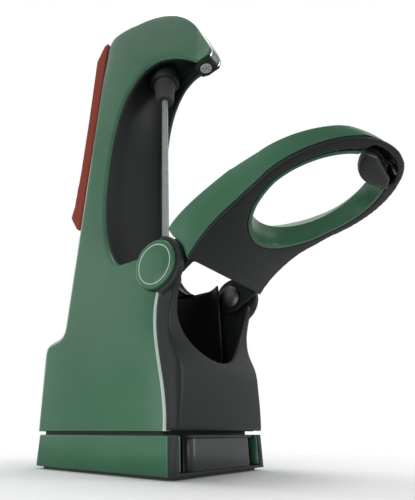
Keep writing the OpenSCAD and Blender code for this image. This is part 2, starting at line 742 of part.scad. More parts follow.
switch_y = 7;
switch_w = 6;
switch_x = ring_x + sqrt(pow(pocket_r, 2) - pow(switch_y + switch_w, 2)) - seat_gap;
module pad_switch() color("#3a3d40") translate([switch_x, switch_y, spring_z - 1.8]) {
  translate([-1, 0, 0]) cube([1, switch_w, 3.6]);
  translate([-1.2, 2, 0.8]) cube([0.5, 2, 2]);
}

// Rear grip panel

grip_foot = 181;
grip_top = crown_z - 3;
grip_t = 14;
function column_at(z) = column_foot + column_rise * (z - column_foot[1]) - [seat_gap, 0];
grip_profile = [column_at(grip_foot), column_at(grip_foot) + [-6, 1], column_at(grip_foot + 17) + [-18.5, 0],
  column_at(grip_foot + 31) + [-grip_t, 0], column_at(grip_foot + 130) + [-grip_t - 1, 0],
  column_at(grip_top - 16) + [-grip_t - 4, 0], column_at(grip_top) + [-7, 0], column_at(grip_top)];
grip_edge = 1.5;
function grip_half(z) = half_width([column_back, z]) - 2;
grip_mid = [for (p = grip_profile) column_at(p[1])];
function grip_row(side, edge, inset) = [for (i = [0:len(grip_profile) - 1])
  to3(grip_profile[i] + (grip_mid[i] - grip_profile[i]) * inset / (grip_t + 6),
    side * (grip_half(grip_profile[i][1]) - edge))];
module rear_grip() color(terracotta) skin([
  grip_row(-1, 0, 2 * grip_edge), grip_row(-1, grip_edge, 0),
  grip_row(1, grip_edge, 0), grip_row(1, 0, 2 * grip_edge)]);

// Nose cap, silver trim lines, nozzle and aerator

function cap_half(i) = let (w = half_width(outer_line[i])) w - rounding(w) - step_w - wall / 4 - 1.4;
function cap_ring(i, low, high, y0, y1) = let (o = outer_line[i], m = wall_dir(i))
  [to3(o + low * m, y0), to3(o + low * m, y1), to3(o + high * m, y1), to3(o + high * m, y0)];
module nose_cap() color(grey) skin([for (i = [cap_start + 1:last_station])
  cap_ring(i, -0.2, cap_t, -cap_half(i), cap_half(i))]);
trim_w = 0.9;
module trim() skin([for (i = [cap_start + 1:last_station])
  cap_ring(i, -0.4, cap_t, cap_half(i) + 0.15, cap_half(i) + 0.15 + trim_w)]);
module nose_trim() color("#d5d7d9") both_sides() trim();

nozzle_x = nose_x - 13;
boss_r = 4.6;
boss_h = 10;
plate_t = 2.5;
plate_half = nose_half - 1.2;
hose_r = 3.5;
module nozzle_body() color("#1f2222") difference() {
  union() {
    translate([0, 0, nose_z - plate_t]) linear_extrude(plate_t - seat_gap)
      polygon([[arch_end[0] - 4, -plate_half + 2], [arch_end[0] + 1, -plate_half],
        [nose_x - 5, -plate_half + 0.6],
        [nose_x - 4, -plate_half + 2], [nose_x - 4, plate_half - 2], [nose_x - 5, plate_half - 0.6],
        [arch_end[0] + 1, plate_half], [arch_end[0] - 4, plate_half - 2]]);
    translate([nozzle_x, 0, nose_z - plate_t]) cylinder(r = boss_r, h = boss_h);
    translate([arch_end[0] - 4, -plate_half + 2.3, nose_z - plate_t]) cube([3, 2 * plate_half - 4.6, 6]);
  }
  translate([nozzle_x, 0, nose_z - plate_t - 1]) cylinder(r = aerator_r + 0.1, h = 1 + 1.8);
  translate([nozzle_x, 0, nose_z - plate_t]) cylinder(r = 2.2, h = 40);
}

module aerator_disc() color("#c8cbcc") translate([nozzle_x, 0, nose_z - plate_t - 0.4]) difference() {
  cylinder(r = aerator_r, h = 2);
  for (k = [0:5]) rotate(72 * k) translate([k == 5 ? 0 : 2.9, 0, -1]) cylinder(r = aerator_hole_r, h = 4);
}

// Stopper, dip tube and hoses

module stopper_socket() color(black) translate([bay_x, 0, mouth_z]) difference() {
  rotate_extrude() polygon([[dip_r + 0.6, -2], [11, -2], [13.6, -1.2], [socket_r, 1.4],
    [socket_r, 20], [dip_r + 0.6, 20]]);
  translate([0, 0, -3]) cylinder(r = 11.3, h = 3);
}

module bottle_stopper() color("#1b1d1d") translate([bay_x, 0, mouth_z]) rotate_extrude()
  polygon([[dip_r + 0.05, -24], [8.2, -24], [9, -21], [10.4, -4],
    [11, -3.6], [11, 0], [10, -0.3], [dip_r + 0.05, -0.3]]);

dip_low = seat_z + 9;
module dip_tube() color("#e4e7e6") translate([bay_x, 0, dip_low]) difference() {
  cylinder(r = dip_r, h = mouth_z + 21 - dip_low);
  translate([0, 0, -1]) cylinder(r = dip_r - 1, h = 400);
}

socket_top = mouth_z + 20;
head_room = crown_z - socket_top;
pour_route = [[bay_x, 0, socket_top + 1.4], [bay_x, 0, socket_top + 0.2 * head_room],
  [bay_x + 7, 0, socket_top + 0.45 * head_room], [bay_x + 21, 0, socket_top + 0.52 * head_room],
  [nozzle_x - 18, 0, socket_top + 0.3 * head_room], [nozzle_x - 9, 0, nose_z + 0.73 * front_rise],
  [nozzle_x - 3, 0, nose_z + 0.46 * front_rise], [nozzle_x - 0.3, 0, nose_z + 0.27 * front_rise],
  [nozzle_x, 0, nose_z - plate_t + boss_h + 0.9]];
module pour_hose() color("#dfe3e2") sweep(spline(pour_route, 3), hose_r, 10);

air_r = 2.5;
pump_x = -44;
pump_z = body_z + floor_t + 22;
air_route = [[pump_x, 26, pump_z + 12.9], [pump_x, 26, pump_z + 20], [pump_x + 8, 24, ledge_z + 14],
  [column_back + 9, 20, 150], [column_back + 13, 18, 250], [column_back + 16, 16, 330],
  [column_back + 22, 14, socket_top + 0.28 * head_room], [bay_x - 18, 12, socket_top + 0.48 * head_room],
  [bay_x - 9, 10, socket_top + 0.31 * head_room], [bay_x - 7, 9, socket_top + 0.4]];
module air_hose() color("#2b3032") sweep(spline(air_route, 3), air_r, 8);

// Air pump in the lower housing

motor_r = 12;
module pump_motor() color("#a9acb0") translate([pump_x, 12, pump_z]) rotate([90, 0, 0]) {
  cylinder(r = motor_r, h = 30);
  cylinder(r = 4, h = 32.5);
}

module pump_head() color("#33373a") difference() {
  union() {
    translate([pump_x - 12, 12 + seat_gap, pump_z - 12]) cube([24, 20, 24]);
    translate([pump_x, 26, pump_z + 11]) cylinder(r = 3, h = 1.2);
  }
  for (x = [-8, 8], z = [-8, 8]) translate([pump_x + x, 33, pump_z + z]) rotate([90, 0, 0])
    cylinder(r = 1.6, h = 2);
}

module pump_bracket() color("#7d8286") difference() {
  translate([pump_x - 15, -14, body_z + floor_t]) cube([30, 22, 14]);
  translate([pump_x, 20, pump_z]) rotate([90, 0, 0]) cylinder(r = motor_r + seat_gap, h = 60);
}

board_t = 1.6;
board_w = 44;
board_h = 50;
board_x = bay_x - cup_r - seat_gap - board_t;
module control_board() color("#27663f") translate([board_x, 0, body_z + floor_t + seat_gap]) {
  translate([0, -board_w / 2, 0]) cube([board_t, board_w, board_h]);
  translate([-5, -16, 18]) cube([5, 10, 12]);
  translate([-3, 2, 26]) cube([3, 14, 14]);
  translate([-4, -16, 34]) cube([4, 8, 8]);
}

foot_mat();
base_skirt();
base_tray();
supply_pins();
case_screws();
body_floor();
bottle_cup();
bottle_pad();
left_cover();
right_cover();
bay_liner();
front_shell();
rear_grip();
nose_cap();
nose_trim();
nozzle_body();
aerator_disc();
stopper_socket();
bottle_stopper();
dip_tube();
pour_hose();
air_hose();
pump_motor();
pump_head();
pump_bracket();
control_board();
left_hinge_bush();
right_hinge_bush();
left_hinge_cap();
right_hinge_cap();
ring_frame();
ring_cover();
left_hinge_pin();
right_hinge_pin();
pad_switch();
press_pad();
pad_spring();
battery_drawer();
battery_cells();
battery_contacts();
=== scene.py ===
"""Looks of the electric cider pourer: finishes, fine meshes, studio light and camera."""

from __future__ import annotations

import json
import logging
import math
from dataclasses import dataclass, field
from enum import Enum
from typing import Any, Callable, Iterable, Sequence, Union

import bpy
from mathutils import Matrix, Vector

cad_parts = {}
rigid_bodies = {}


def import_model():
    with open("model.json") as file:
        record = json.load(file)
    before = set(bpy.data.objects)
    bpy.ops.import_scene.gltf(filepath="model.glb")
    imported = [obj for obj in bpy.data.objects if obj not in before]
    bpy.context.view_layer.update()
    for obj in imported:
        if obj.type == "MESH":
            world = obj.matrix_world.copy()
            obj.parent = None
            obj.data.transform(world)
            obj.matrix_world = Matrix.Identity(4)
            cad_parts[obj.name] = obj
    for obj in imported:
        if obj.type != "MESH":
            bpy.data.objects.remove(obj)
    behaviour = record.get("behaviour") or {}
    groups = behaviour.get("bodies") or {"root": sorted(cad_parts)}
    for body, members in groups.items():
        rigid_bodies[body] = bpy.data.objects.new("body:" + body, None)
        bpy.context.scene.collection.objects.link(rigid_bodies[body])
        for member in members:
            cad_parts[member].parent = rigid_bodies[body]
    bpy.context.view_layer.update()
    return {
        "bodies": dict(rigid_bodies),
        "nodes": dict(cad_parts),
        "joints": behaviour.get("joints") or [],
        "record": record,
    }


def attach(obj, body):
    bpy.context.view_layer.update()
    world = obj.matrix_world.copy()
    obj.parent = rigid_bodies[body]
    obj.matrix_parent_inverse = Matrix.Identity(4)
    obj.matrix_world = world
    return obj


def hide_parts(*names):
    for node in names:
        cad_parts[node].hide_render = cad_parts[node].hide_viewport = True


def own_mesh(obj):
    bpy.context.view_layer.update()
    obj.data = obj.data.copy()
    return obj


LOG = logging.getLogger("pourer")
MM = 0.001

Point2 = tuple[float, float]
Point3 = tuple[float, float, float]
Colour = tuple[float, float, float]
Grid = list[list[Point3]]


class Wire:
    """A shader socket that takes part in Python arithmetic."""

    def __init__(self, graph: Graph, socket: bpy.types.NodeSocket) -> None:
        """Keep the socket and the graph that owns it."""
        self.graph = graph
        self.socket = socket

    def __add__(self, other: Value) -> Wire:
        """Sum of two values."""
        return self.graph.maths("ADD", self, other)

    def __radd__(self, other: Value) -> Wire:
        """Sum of two values, reflected."""
        return self.graph.maths("ADD", other, self)

    def __sub__(self, other: Value) -> Wire:
        """Difference of two values."""
        return self.graph.maths("SUBTRACT", self, other)

    def __rsub__(self, other: Value) -> Wire:
        """Difference of two values, reflected."""
        return self.graph.maths("SUBTRACT", other, self)

    def __mul__(self, other: Value) -> Wire:
        """Product of two values."""
        return self.graph.maths("MULTIPLY", self, other)

    def __rmul__(self, other: Value) -> Wire:
        """Product of two values, reflected."""
        return self.graph.maths("MULTIPLY", other, self)

    def __truediv__(self, other: Value) -> Wire:
        """Quotient of two values."""
        return self.graph.maths("DIVIDE", self, other)

    def __rtruediv__(self, other: Value) -> Wire:
        """Quotient of two values, reflected."""
        return self.graph.maths("DIVIDE", other, self)

    def __gt__(self, other: Value) -> Wire:
        """One where this value is the larger."""
        return self.graph.maths("GREATER_THAN", self, other)

    def __lt__(self, other: Value) -> Wire:
        """One where this value is the smaller."""
        return self.graph.maths("LESS_THAN", self, other)

    def clamped(self) -> Wire:
        """The value held between zero and one."""
        return self.graph.maths("MINIMUM", self.graph.maths("MAXIMUM", self, 0.0), 1.0)


Value = Union[Wire, float]


class Graph:
    """Node tree of one material or of the world."""

    FLAT = 0.505
    EDGE_GAIN = 14.0

    def __init__(self, owner: bpy.types.Material | bpy.types.World) -> None:
        """Start with an empty tree.

        Args:
            owner: The material or world.
        """
        owner.use_nodes = True
        self.owner = owner
        self.tree = owner.node_tree
        self.tree.nodes.clear()

    @classmethod
    def named(cls, name: str) -> Graph:
        """Graph of a new material."""
        return cls(bpy.data.materials.new(name))

    def node(
        self, kind: str, settings: dict[str, Any] | None = None, inputs: dict[Any, Any] | None = None
    ) -> bpy.types.Node:
        """Add a node with its settings, values and links.

        Args:
            kind: Blender's node type.
            settings: Attributes to set on the node.
            inputs: Socket name or index to a value or a Wire.

        Returns:
            The new node.
        """
        made = self.tree.nodes.new(kind)
        for key, value in (settings or {}).items():
            setattr(made, key, value)
        for key, value in (inputs or {}).items():
            if isinstance(value, Wire):
                self.tree.links.new(value.socket, made.inputs[key])
            else:
                made.inputs[key].default_value = value
        return made

    def wire(self, node: bpy.types.Node, output: str | int = 0) -> Wire:
        """Output of a node as a Wire."""
        return Wire(self, node.outputs[output])

    def maths(self, operation: str, a: Value, b: Value) -> Wire:
        """Math node of two values as a Wire."""
        return self.wire(self.node("ShaderNodeMath", {"operation": operation}, {0: a, 1: b}))

    def mix(self, factor: Value, a: Colour | Wire, b: Colour | Wire) -> Wire:
        """Blend two colours.

        Args:
            factor: Zero gives a, one gives b.
            a: First colour.
            b: Second colour.

        Returns:
            The blended colour.
        """
        full = [c if isinstance(c, Wire) else (*c, 1.0) for c in (a, b)]
        made = self.node("ShaderNodeMix", {"data_type": "RGBA"}, {0: factor, 6: full[0], 7: full[1]})
        return self.wire(made, 2)

    def place(self, stretch: Colour = (1.0, 1.0, 1.0)) -> Wire:
        """Position on the object in metres, stretched."""
        point = self.wire(self.node("ShaderNodeTexCoord"), "Object")
        return self.wire(self.node("ShaderNodeVectorMath", {"operation": "MULTIPLY"}, {0: point, 1: stretch}))

    def noise(self, scale: float, detail: float = 2.0, stretch: Colour = (1.0, 1.0, 1.0)) -> Wire:
        """Noise over the object.

        Args:
            scale: Features per metre.
            detail: Octaves.
            stretch: Factors for the three directions.

        Returns:
            The noise value, about one half on average.
        """
        inputs = {"Vector": self.place(stretch), "Scale": scale, "Detail": detail}
        return self.wire(self.node("ShaderNodeTexNoise", None, inputs))

    def axis(self, index: int) -> Wire:
        """One coordinate of the position on the object, in metres."""
        return self.wire(self.node("ShaderNodeSeparateXYZ", None, {0: self.place()}), index)

    def edges(self) -> Wire:
        """How convex the surface is, one on sharp outer edges."""
        point = self.wire(self.node("ShaderNodeNewGeometry"), "Pointiness")
        return ((point - self.FLAT) * self.EDGE_GAIN).clamped()

    def bump(self, height: Wire, strength: float, depth_mm: float) -> Wire:
        """Normal raised by a height."""
        inputs = {"Height": height, "Strength": strength, "Distance": depth_mm * MM}
        return self.wire(self.node("ShaderNodeBump", None, inputs))

    def finish(self, **inputs: Any) -> bpy.types.Material:
        """Close the graph with the surface shader.

        Args:
            **inputs: Shader sockets by name, with underscores for spaces.

        Returns:
            The finished material.
        """
        sockets = {key.replace("_", " "): value for key, value in inputs.items()}
        shader = self.node("ShaderNodeBsdfPrincipled", None, sockets)
        self.node("ShaderNodeOutputMaterial", None, {"Surface": self.wire(shader)})
        return self.owner


@dataclass(frozen=True)
class Moulded:
    """Moulded plastic with a faint grain, soft mottling and rubbed edges; on the gloss greens the mottling is
    painted reflection, and on the covers the pale edges are a painted highlight.
    """

    name: str
    colour: Colour
    roughness: float
    coat: float = 0.0
    grain: float = 0.12
    tone_and_reflection_mottle: float = 0.1
    rub_and_edge_highlight: float = 0.15
    specular: float = 0.3
    pale: float = 1.5
    wobble_mm: float = 0.0
    clouds_per_m: float = 16.0
    grains_per_m: float = 900.0
    grain_mm: float = 0.08
    coat_roughness: float = 0.2

    def material(self) -> bpy.types.Material:
        """Build the shader.

        Returns:
            The finished material.
        """
        graph = Graph.named(self.name)
        broad = graph.noise(self.clouds_per_m, 3.0)
        fine = graph.noise(self.grains_per_m)
        # Dark and light tones of the mottling: random tone, and on the gloss greens painted reflection.
        dark = tuple(c * (1.0 - self.tone_and_reflection_mottle) for c in self.colour)
        light = tuple(min(1.0, c * (1.0 + self.tone_and_reflection_mottle)) for c in self.colour)
        # Pale edge colour: rubbed wear, and on the covers a painted highlight along the edges.
        worn_and_lit_edge_colour = tuple(min(1.0, c * self.pale + 0.01) for c in self.colour)
        body = graph.mix(broad, dark, light)
        return graph.finish(
            Base_Color=graph.mix(graph.edges() * self.rub_and_edge_highlight, body, worn_and_lit_edge_colour),
            Roughness=(self.roughness + (broad - 0.5) * 0.12 + (fine - 0.5) * 0.06).clamped(),
            Specular_IOR_Level=self.specular,
            Coat_Weight=self.coat,
            Coat_Roughness=self.coat_roughness,
            Normal=graph.bump(fine * (self.grain * self.grain_mm) + broad * self.wobble_mm, 1.0, 1.0),
        )


@dataclass(frozen=True)
class Metal:
    """Bright metal with fine lines along one direction."""

    name: str
    colour: Colour
    roughness: float
    stretch: Colour = (1.0, 1.0, 12.0)
    lines_per_m: float = 260.0
    shade: float = 0.82

    def material(self) -> bpy.types.Material:
        """Build the shader.

        Returns:
            The finished material.
        """
        graph = Graph.named(self.name)
        lines = graph.noise(self.lines_per_m, 4.0, self.stretch)
        dark = tuple(c * self.shade for c in self.colour)
        return graph.finish(
            Base_Color=graph.mix(lines, dark, self.colour),
            Metallic=1.0,
            Roughness=(self.roughness + (lines - 0.5) * 0.2).clamped(),
            Normal=graph.bump(lines, 0.08, 0.05),
        )


@dataclass(frozen=True)
class Rubber:
    """Matt rubber with a dusty grain."""

    name: str
    colour: Colour
    roughness: float = 0.8
    dust_per_m: float = 60.0
    grains_per_m: float = 1400.0

    def material(self) -> bpy.types.Material:
        """Build the shader.

        Returns:
            The finished material.
        """
        graph = Graph.named(self.name)
        dust = graph.noise(self.dust_per_m, 5.0)
        fine = graph.noise(self.grains_per_m)
        pale = tuple(c * 1.6 + 0.004 for c in self.colour)
        return graph.finish(
            Base_Color=graph.mix(dust, self.colour, pale),
            Roughness=(self.roughness + (fine - 0.5) * 0.2).clamped(),
            Normal=graph.bump(fine, 0.2, 0.1),
        )


@dataclass(frozen=True)
class Clear:
    """Clear flexible tubing, slightly milky."""

    name: str
    colour: Colour
    clouds_per_m: float = 120.0
    see_through: float = 0.4
    bending: float = 1.42

    def material(self) -> bpy.types.Material:
        """Build the shader.

        Returns:
            The finished material.
        """
        graph = Graph.named(self.name)
        cloud = graph.noise(self.clouds_per_m, 3.0)
        tinted = tuple(c * 0.9 for c in self.colour)
        return graph.finish(
            Base_Color=graph.mix(cloud, tinted, self.colour),
            Roughness=(0.22 + cloud * 0.14).clamped(),
            Transmission_Weight=self.see_through,
            IOR=self.bending,
        )


@dataclass(frozen=True)
class Board:
    """Lacquered circuit board with lighter tracks."""

    name: str
    colour: Colour
    tracks_per_m: float = 180.0
    track_share: float = 0.06

    def material(self) -> bpy.types.Material:
        """Build the shader.

        Returns:
            The finished material.
        """
        graph = Graph.named(self.name)
        inputs = {"Vector": graph.place(), "Scale": self.tracks_per_m, "Mortar Size": self.track_share}
        tracks = graph.node("ShaderNodeTexBrick", {"offset": 0.35}, inputs)
        copper = tuple(min(1.0, c * 2.4 + 0.02) for c in self.colour)
        return graph.finish(
            Base_Color=graph.mix(graph.wire(tracks, 1), self.colour, copper),
            Roughness=(0.3 + graph.noise(300.0) * 0.2).clamped(),
            Normal=graph.bump(graph.wire(tracks, 1), 0.15, 0.1),
        )


@dataclass(frozen=True)
class CellSleeve:
    """Printed sleeve of a battery cell: two plain bands of colour."""

    name: str
    body: Colour
    band: Colour
    split_m: float
    scuffs_per_m: float = 140.0

    def material(self) -> bpy.types.Material:
        """Build the shader.

        Returns:
            The finished material.
        """
        graph = Graph.named(self.name)
        band = graph.axis(0) > self.split_m
        scuff = graph.noise(self.scuffs_per_m, 4.0)
        return graph.finish(
            Base_Color=graph.mix(band, self.body, self.band),
            Metallic=0.6,
            Roughness=(0.28 + (scuff - 0.5) * 0.2).clamped(),
            Normal=graph.bump(scuff, 0.05, 0.1),
        )


class Finish(Enum):
    """Every finish on the pourer."""

    # Greens: their strong mottling is painted reflection of the studio in the colour.
    GREEN = Moulded(
        "gloss_green", (0.031, 0.110, 0.058), 0.32,
        coat=0.1, grain=0.05, tone_and_reflection_mottle=0.3, rub_and_edge_highlight=0.04, specular=0.18, wobble_mm=0.8,
    )
    # Cover green: its strong pale edges are a painted highlight along the edges, and its mottling is painted
    # reflection.
    COVER = Moulded(
        "gloss_green_lit_edge", (0.030, 0.107, 0.057), 0.32,
        coat=0.1, grain=0.05, tone_and_reflection_mottle=0.3, rub_and_edge_highlight=0.5, specular=0.16, pale=3.2, wobble_mm=1.0,
    )
    BLACK = Moulded(
        "satin_black", (0.015, 0.0185, 0.0175), 0.42, coat=0.02, grain=0.1, tone_and_reflection_mottle=0.16, rub_and_edge_highlight=0.35, specular=0.1
    )
    # Gloss black of the drawer: its gloss is its own, and its lighter tone than the satin black is painted light
    # on the drawer front.
    DRAWER = Moulded(
        "gloss_black", (0.026, 0.030, 0.029), 0.3,
        coat=0.12, grain=0.06, tone_and_reflection_mottle=0.16, rub_and_edge_highlight=0.35, specular=0.2, wobble_mm=0.6,
    )
    # Bay black: black plastic made darker than satin black as painted shade for the bay, the cup, the insides of
    # the covers and the pocket of the press pad.
    LINER = Moulded("bay_black", (0.012, 0.0135, 0.013), 0.46, tone_and_reflection_mottle=0.2, rub_and_edge_highlight=0.3, specular=0.1)
    GRAPHITE = Moulded("graphite", (0.040, 0.043, 0.045), 0.42, coat=0.1, tone_and_reflection_mottle=0.12, rub_and_edge_highlight=0.3)
    NOSE = Moulded("satin_grey", (0.105, 0.108, 0.110), 0.4, coat=0.15, grain=0.1, tone_and_reflection_mottle=0.12, rub_and_edge_highlight=0.1)
    TERRACOTTA = Moulded(
        "soft_terracotta", (0.195, 0.032, 0.017), 0.55, grain=0.16, tone_and_reflection_mottle=0.12, rub_and_edge_highlight=0.2, specular=0.06
    )
    PALE = Moulded("pale_grey", (0.42, 0.45, 0.46), 0.5, grain=0.1, tone_and_reflection_mottle=0.08, rub_and_edge_highlight=0.1)
    # Pale line: the ring line of the hinge caps; on the covers' parting bevel it is a painted highlight.
    LINE = Moulded("pale_line", (0.46, 0.54, 0.49), 0.4, coat=0.2, grain=0.06, tone_and_reflection_mottle=0.08, rub_and_edge_highlight=0.1)
    SILVER = Metal("plated_line", (0.78, 0.79, 0.80), 0.18)
    STEEL = Metal("bright_steel", (0.56, 0.57, 0.58), 0.3)
    DARK_STEEL = Metal("dark_steel", (0.09, 0.092, 0.096), 0.42)
    # Steel darkened as painted shade, for the coil in the pocket behind the press pad.
    STEEL_IN_SHADE = Metal("steel_in_painted_shade", (0.02, 0.02, 0.021), 0.5)
    BRASS = Metal("brass", (0.62, 0.43, 0.16), 0.28)
    RUBBER = Rubber("soft_rubber", (0.016, 0.017, 0.017))
    CLEAR = Clear("clear_tube", (0.42, 0.45, 0.44))
    BOARD = Board("board_lacquer", (0.020, 0.120, 0.050))
    CELL = CellSleeve("cell_sleeve", (0.05, 0.055, 0.065), (0.45, 0.32, 0.12), 0.036)


class Dresser:
    """Gives CAD nodes and new pieces their finish, soft edges and body."""

    WELD_M = 0.00001
    SHARP_DEG = 40.0
    FACES_KEPT = 0.12

    def __init__(self, frame: dict[str, Any]) -> None:
        """Keep the frame and an empty shelf of materials.
        """
        self.nodes: dict[str, bpy.types.Object] = frame["nodes"]
        self.shelf: dict[Finish, bpy.types.Material] = {}

    def material(self, finish: Finish) -> bpy.types.Material:
        """Material of a finish, made once.

        Args:
            finish: The finish.

        Returns:
            Its material.
        """
        if finish not in self.shelf:
            self.shelf[finish] = finish.value.material()
        return self.shelf[finish]

    def paint(self, obj: bpy.types.Object, finish: Finish, angle: float = 32.0) -> None:
        """Give an object its material and smooth shading.

        Args:
            obj: The object.
            finish: Its finish.
            angle: Edges sharper than this stay crisp, in degrees.
        """
        obj.data.materials.clear()
        obj.data.materials.append(self.material(finish))
        obj.data.polygons.foreach_set("use_smooth", [True] * len(obj.data.polygons))
        obj.data.set_sharp_from_angle(angle=math.radians(angle))

    def node(self, name: str, finish: Finish, slot: str, soft_mm: float = 0.0, steps: int = 2) -> None:
        """Dress a CAD node.

        Args:
            name: Name of the node.
            finish: Its finish.
            slot: The record's material slot; not used.
            soft_mm: Width of the softened edges.
            steps: Segments of the softened edges.
        """
        obj = self.nodes[name]
        self.paint(obj, finish)
        if soft_mm > 0.0:
            obj.modifiers.new("weld", "WELD").merge_threshold = self.WELD_M
            bevel = obj.modifiers.new("soft_edges", "BEVEL")
            bevel.width = soft_mm * MM
            bevel.segments = steps
            bevel.limit_method = "ANGLE"
            bevel.angle_limit = math.radians(self.SHARP_DEG)
            bevel.harden_normals = True
        LOG.info("node %s in %s", name, finish.value.name)

    def flowing(self, name: str, finish: Finish, slot: str, voxel_mm: float, passes: int) -> None:
        """Dress a CAD node as one even moulding whose faces flow into each other.

        Args:
            name: Name of the node.
            finish: Its finish.
            slot: The record's material slot; not used.
            voxel_mm: Size of the even mesh.
            passes: Smoothing passes.
        """
        obj = self.nodes[name]
        self.paint(obj, finish)
        obj.modifiers.new("weld", "WELD").merge_threshold = self.WELD_M
        even = obj.modifiers.new("even_mesh", "REMESH")
        even.mode = "VOXEL"
        even.voxel_size = voxel_mm * MM
        even.use_smooth_shade = True
        soften = obj.modifiers.new("soften", "SMOOTH")
        soften.iterations = passes
        obj.modifiers.new("thin_out", "DECIMATE").ratio = self.FACES_KEPT
        LOG.info("node %s in %s", name, finish.value.name)

    def piece(
        self, obj: bpy.types.Object, finish: Finish, slot: str, body: str, stands_for: Sequence[str] = (),
        angle: float = 32.0,
    ) -> None:
        """Dress a new piece and let it ride on a body.

        Args:
            obj: The piece.
            finish: Its finish.
            slot: The record's material slot; not used.
            body: The CAD body it moves with.
            stands_for: CAD nodes that it replaces.
            angle: Edges sharper than this stay crisp, in degrees.
        """
        self.paint(obj, finish, angle)
        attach(obj, body)
        if stands_for:
            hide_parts(*stands_for)
        LOG.info("piece %s on %s in %s", obj.name, body, finish.value.name)


class Mesher:
    """Makes mesh objects from points in millimetres."""

    @staticmethod
    def build(
        name: str, points: Iterable[Sequence[float]], faces: list[tuple[int, ...]]
    ) -> bpy.types.Object:
        """Make an object from points and faces.

        Args:
            name: Name of the object.
            points: Points in millimetres.
            faces: Faces as point numbers.

        Returns:
            The new object.
        """
        mesh = bpy.data.meshes.new(name)
        mesh.from_pydata([tuple(c * MM for c in p) for p in points], [], faces)
        mesh.validate()
        mesh.update()
        obj = bpy.data.objects.new(name, mesh)
        bpy.context.scene.collection.objects.link(obj)
        return obj

    @staticmethod
    def quads(rows: int, columns: int, close_rows: bool, close_columns: bool) -> list[tuple[int, ...]]:
        """Faces of a grid.

        Args:
            rows: Number of rows.
            columns: Points in a row.
            close_rows: Join the last row to the first.
            close_columns: Join the last point of a row to its first.

        Returns:
            The quads.
        """
        faces = []
        for i in range(rows if close_rows else rows - 1):
            for j in range(columns if close_columns else columns - 1):
                a, b = i * columns, ((i + 1) % rows) * columns
                k = (j + 1) % columns
                faces.append((a + j, a + k, b + k, b + j))
        return faces

    @classmethod
    def tube(cls, name: str, rings: list[list[Sequence[float]]]) -> bpy.types.Object:
        """Skin over closed rings of points, with both ends closed.

        Args:
            name: Name of the object.
            rings: The rings, all with the same number of points.

        Returns:
            The new object.
        """
        n, m = len(rings[0]), len(rings)
        faces = cls.quads(m, n, False, True)
        faces.append(tuple(range(n - 1, -1, -1)))
        faces.append(tuple((m - 1) * n + j for j in range(n)))
        return cls.build(name, [p for ring in rings for p in ring], faces)

    @classmethod
    def lathe(
        cls, name: str, profile: list[Point2], place: Callable[[float, float, float], Point3], steps: int = 96
    ) -> bpy.types.Object:
        """Turn a profile about an axis.

        Args:
            name: Name of the object.
            profile: Radius and height of each point, from the axis out and back.
            place: Turns radius-x, radius-y and height into a point.
            steps: Steps round the axis.

        Returns:
            The new object.
        """
        rings = []
        for k in range(steps):
            a = 2.0 * math.pi * k / steps
            rings.append([place(r * math.cos(a), r * math.sin(a), h) for r, h in profile])
        faces = cls.quads(steps, len(profile), True, False)
        return cls.build(name, [p for ring in rings for p in ring], faces)


def bezier(p: Sequence[Point2], t: float) -> Point2:
    """Point of a cubic curve."""
    w = ((1 - t) ** 3, 3 * t * (1 - t) ** 2, 3 * t * t * (1 - t), t ** 3)
    return (sum(a * q[0] for a, q in zip(w, p)), sum(a * q[1] for a, q in zip(w, p)))


def shifted(p: Point2, dx: float, dz: float) -> Point2:
    """A point moved by a distance."""
    return (p[0] + dx, p[1] + dz)


def between(a: Point2, b: Point2, t: float) -> Point2:
    """A point part of the way from a to b."""
    return (a[0] + (b[0] - a[0]) * t, a[1] + (b[1] - a[1]) * t)


def straight(a: Point2, b: Point2) -> tuple[Point2, ...]:
    """A straight stretch written as a cubic curve."""
    return (a, between(a, b, 1.0 / 3.0), between(a, b, 2.0 / 3.0), b)


def unit(a: Point2, b: Point2) -> Point2:
    """Direction from a to b."""
    length = math.hypot(b[0] - a[0], b[1] - a[1])
    return ((b[0] - a[0]) / length, (b[1] - a[1]) / length)


def clamp(u: float) -> float:
    """A value held between zero and one."""
    return min(1.0, max(0.0, u))


def ease(u: float) -> float:
    """Smooth step from zero to one."""
    c = clamp(u)
    return c * c * (3.0 - 2.0 * c)


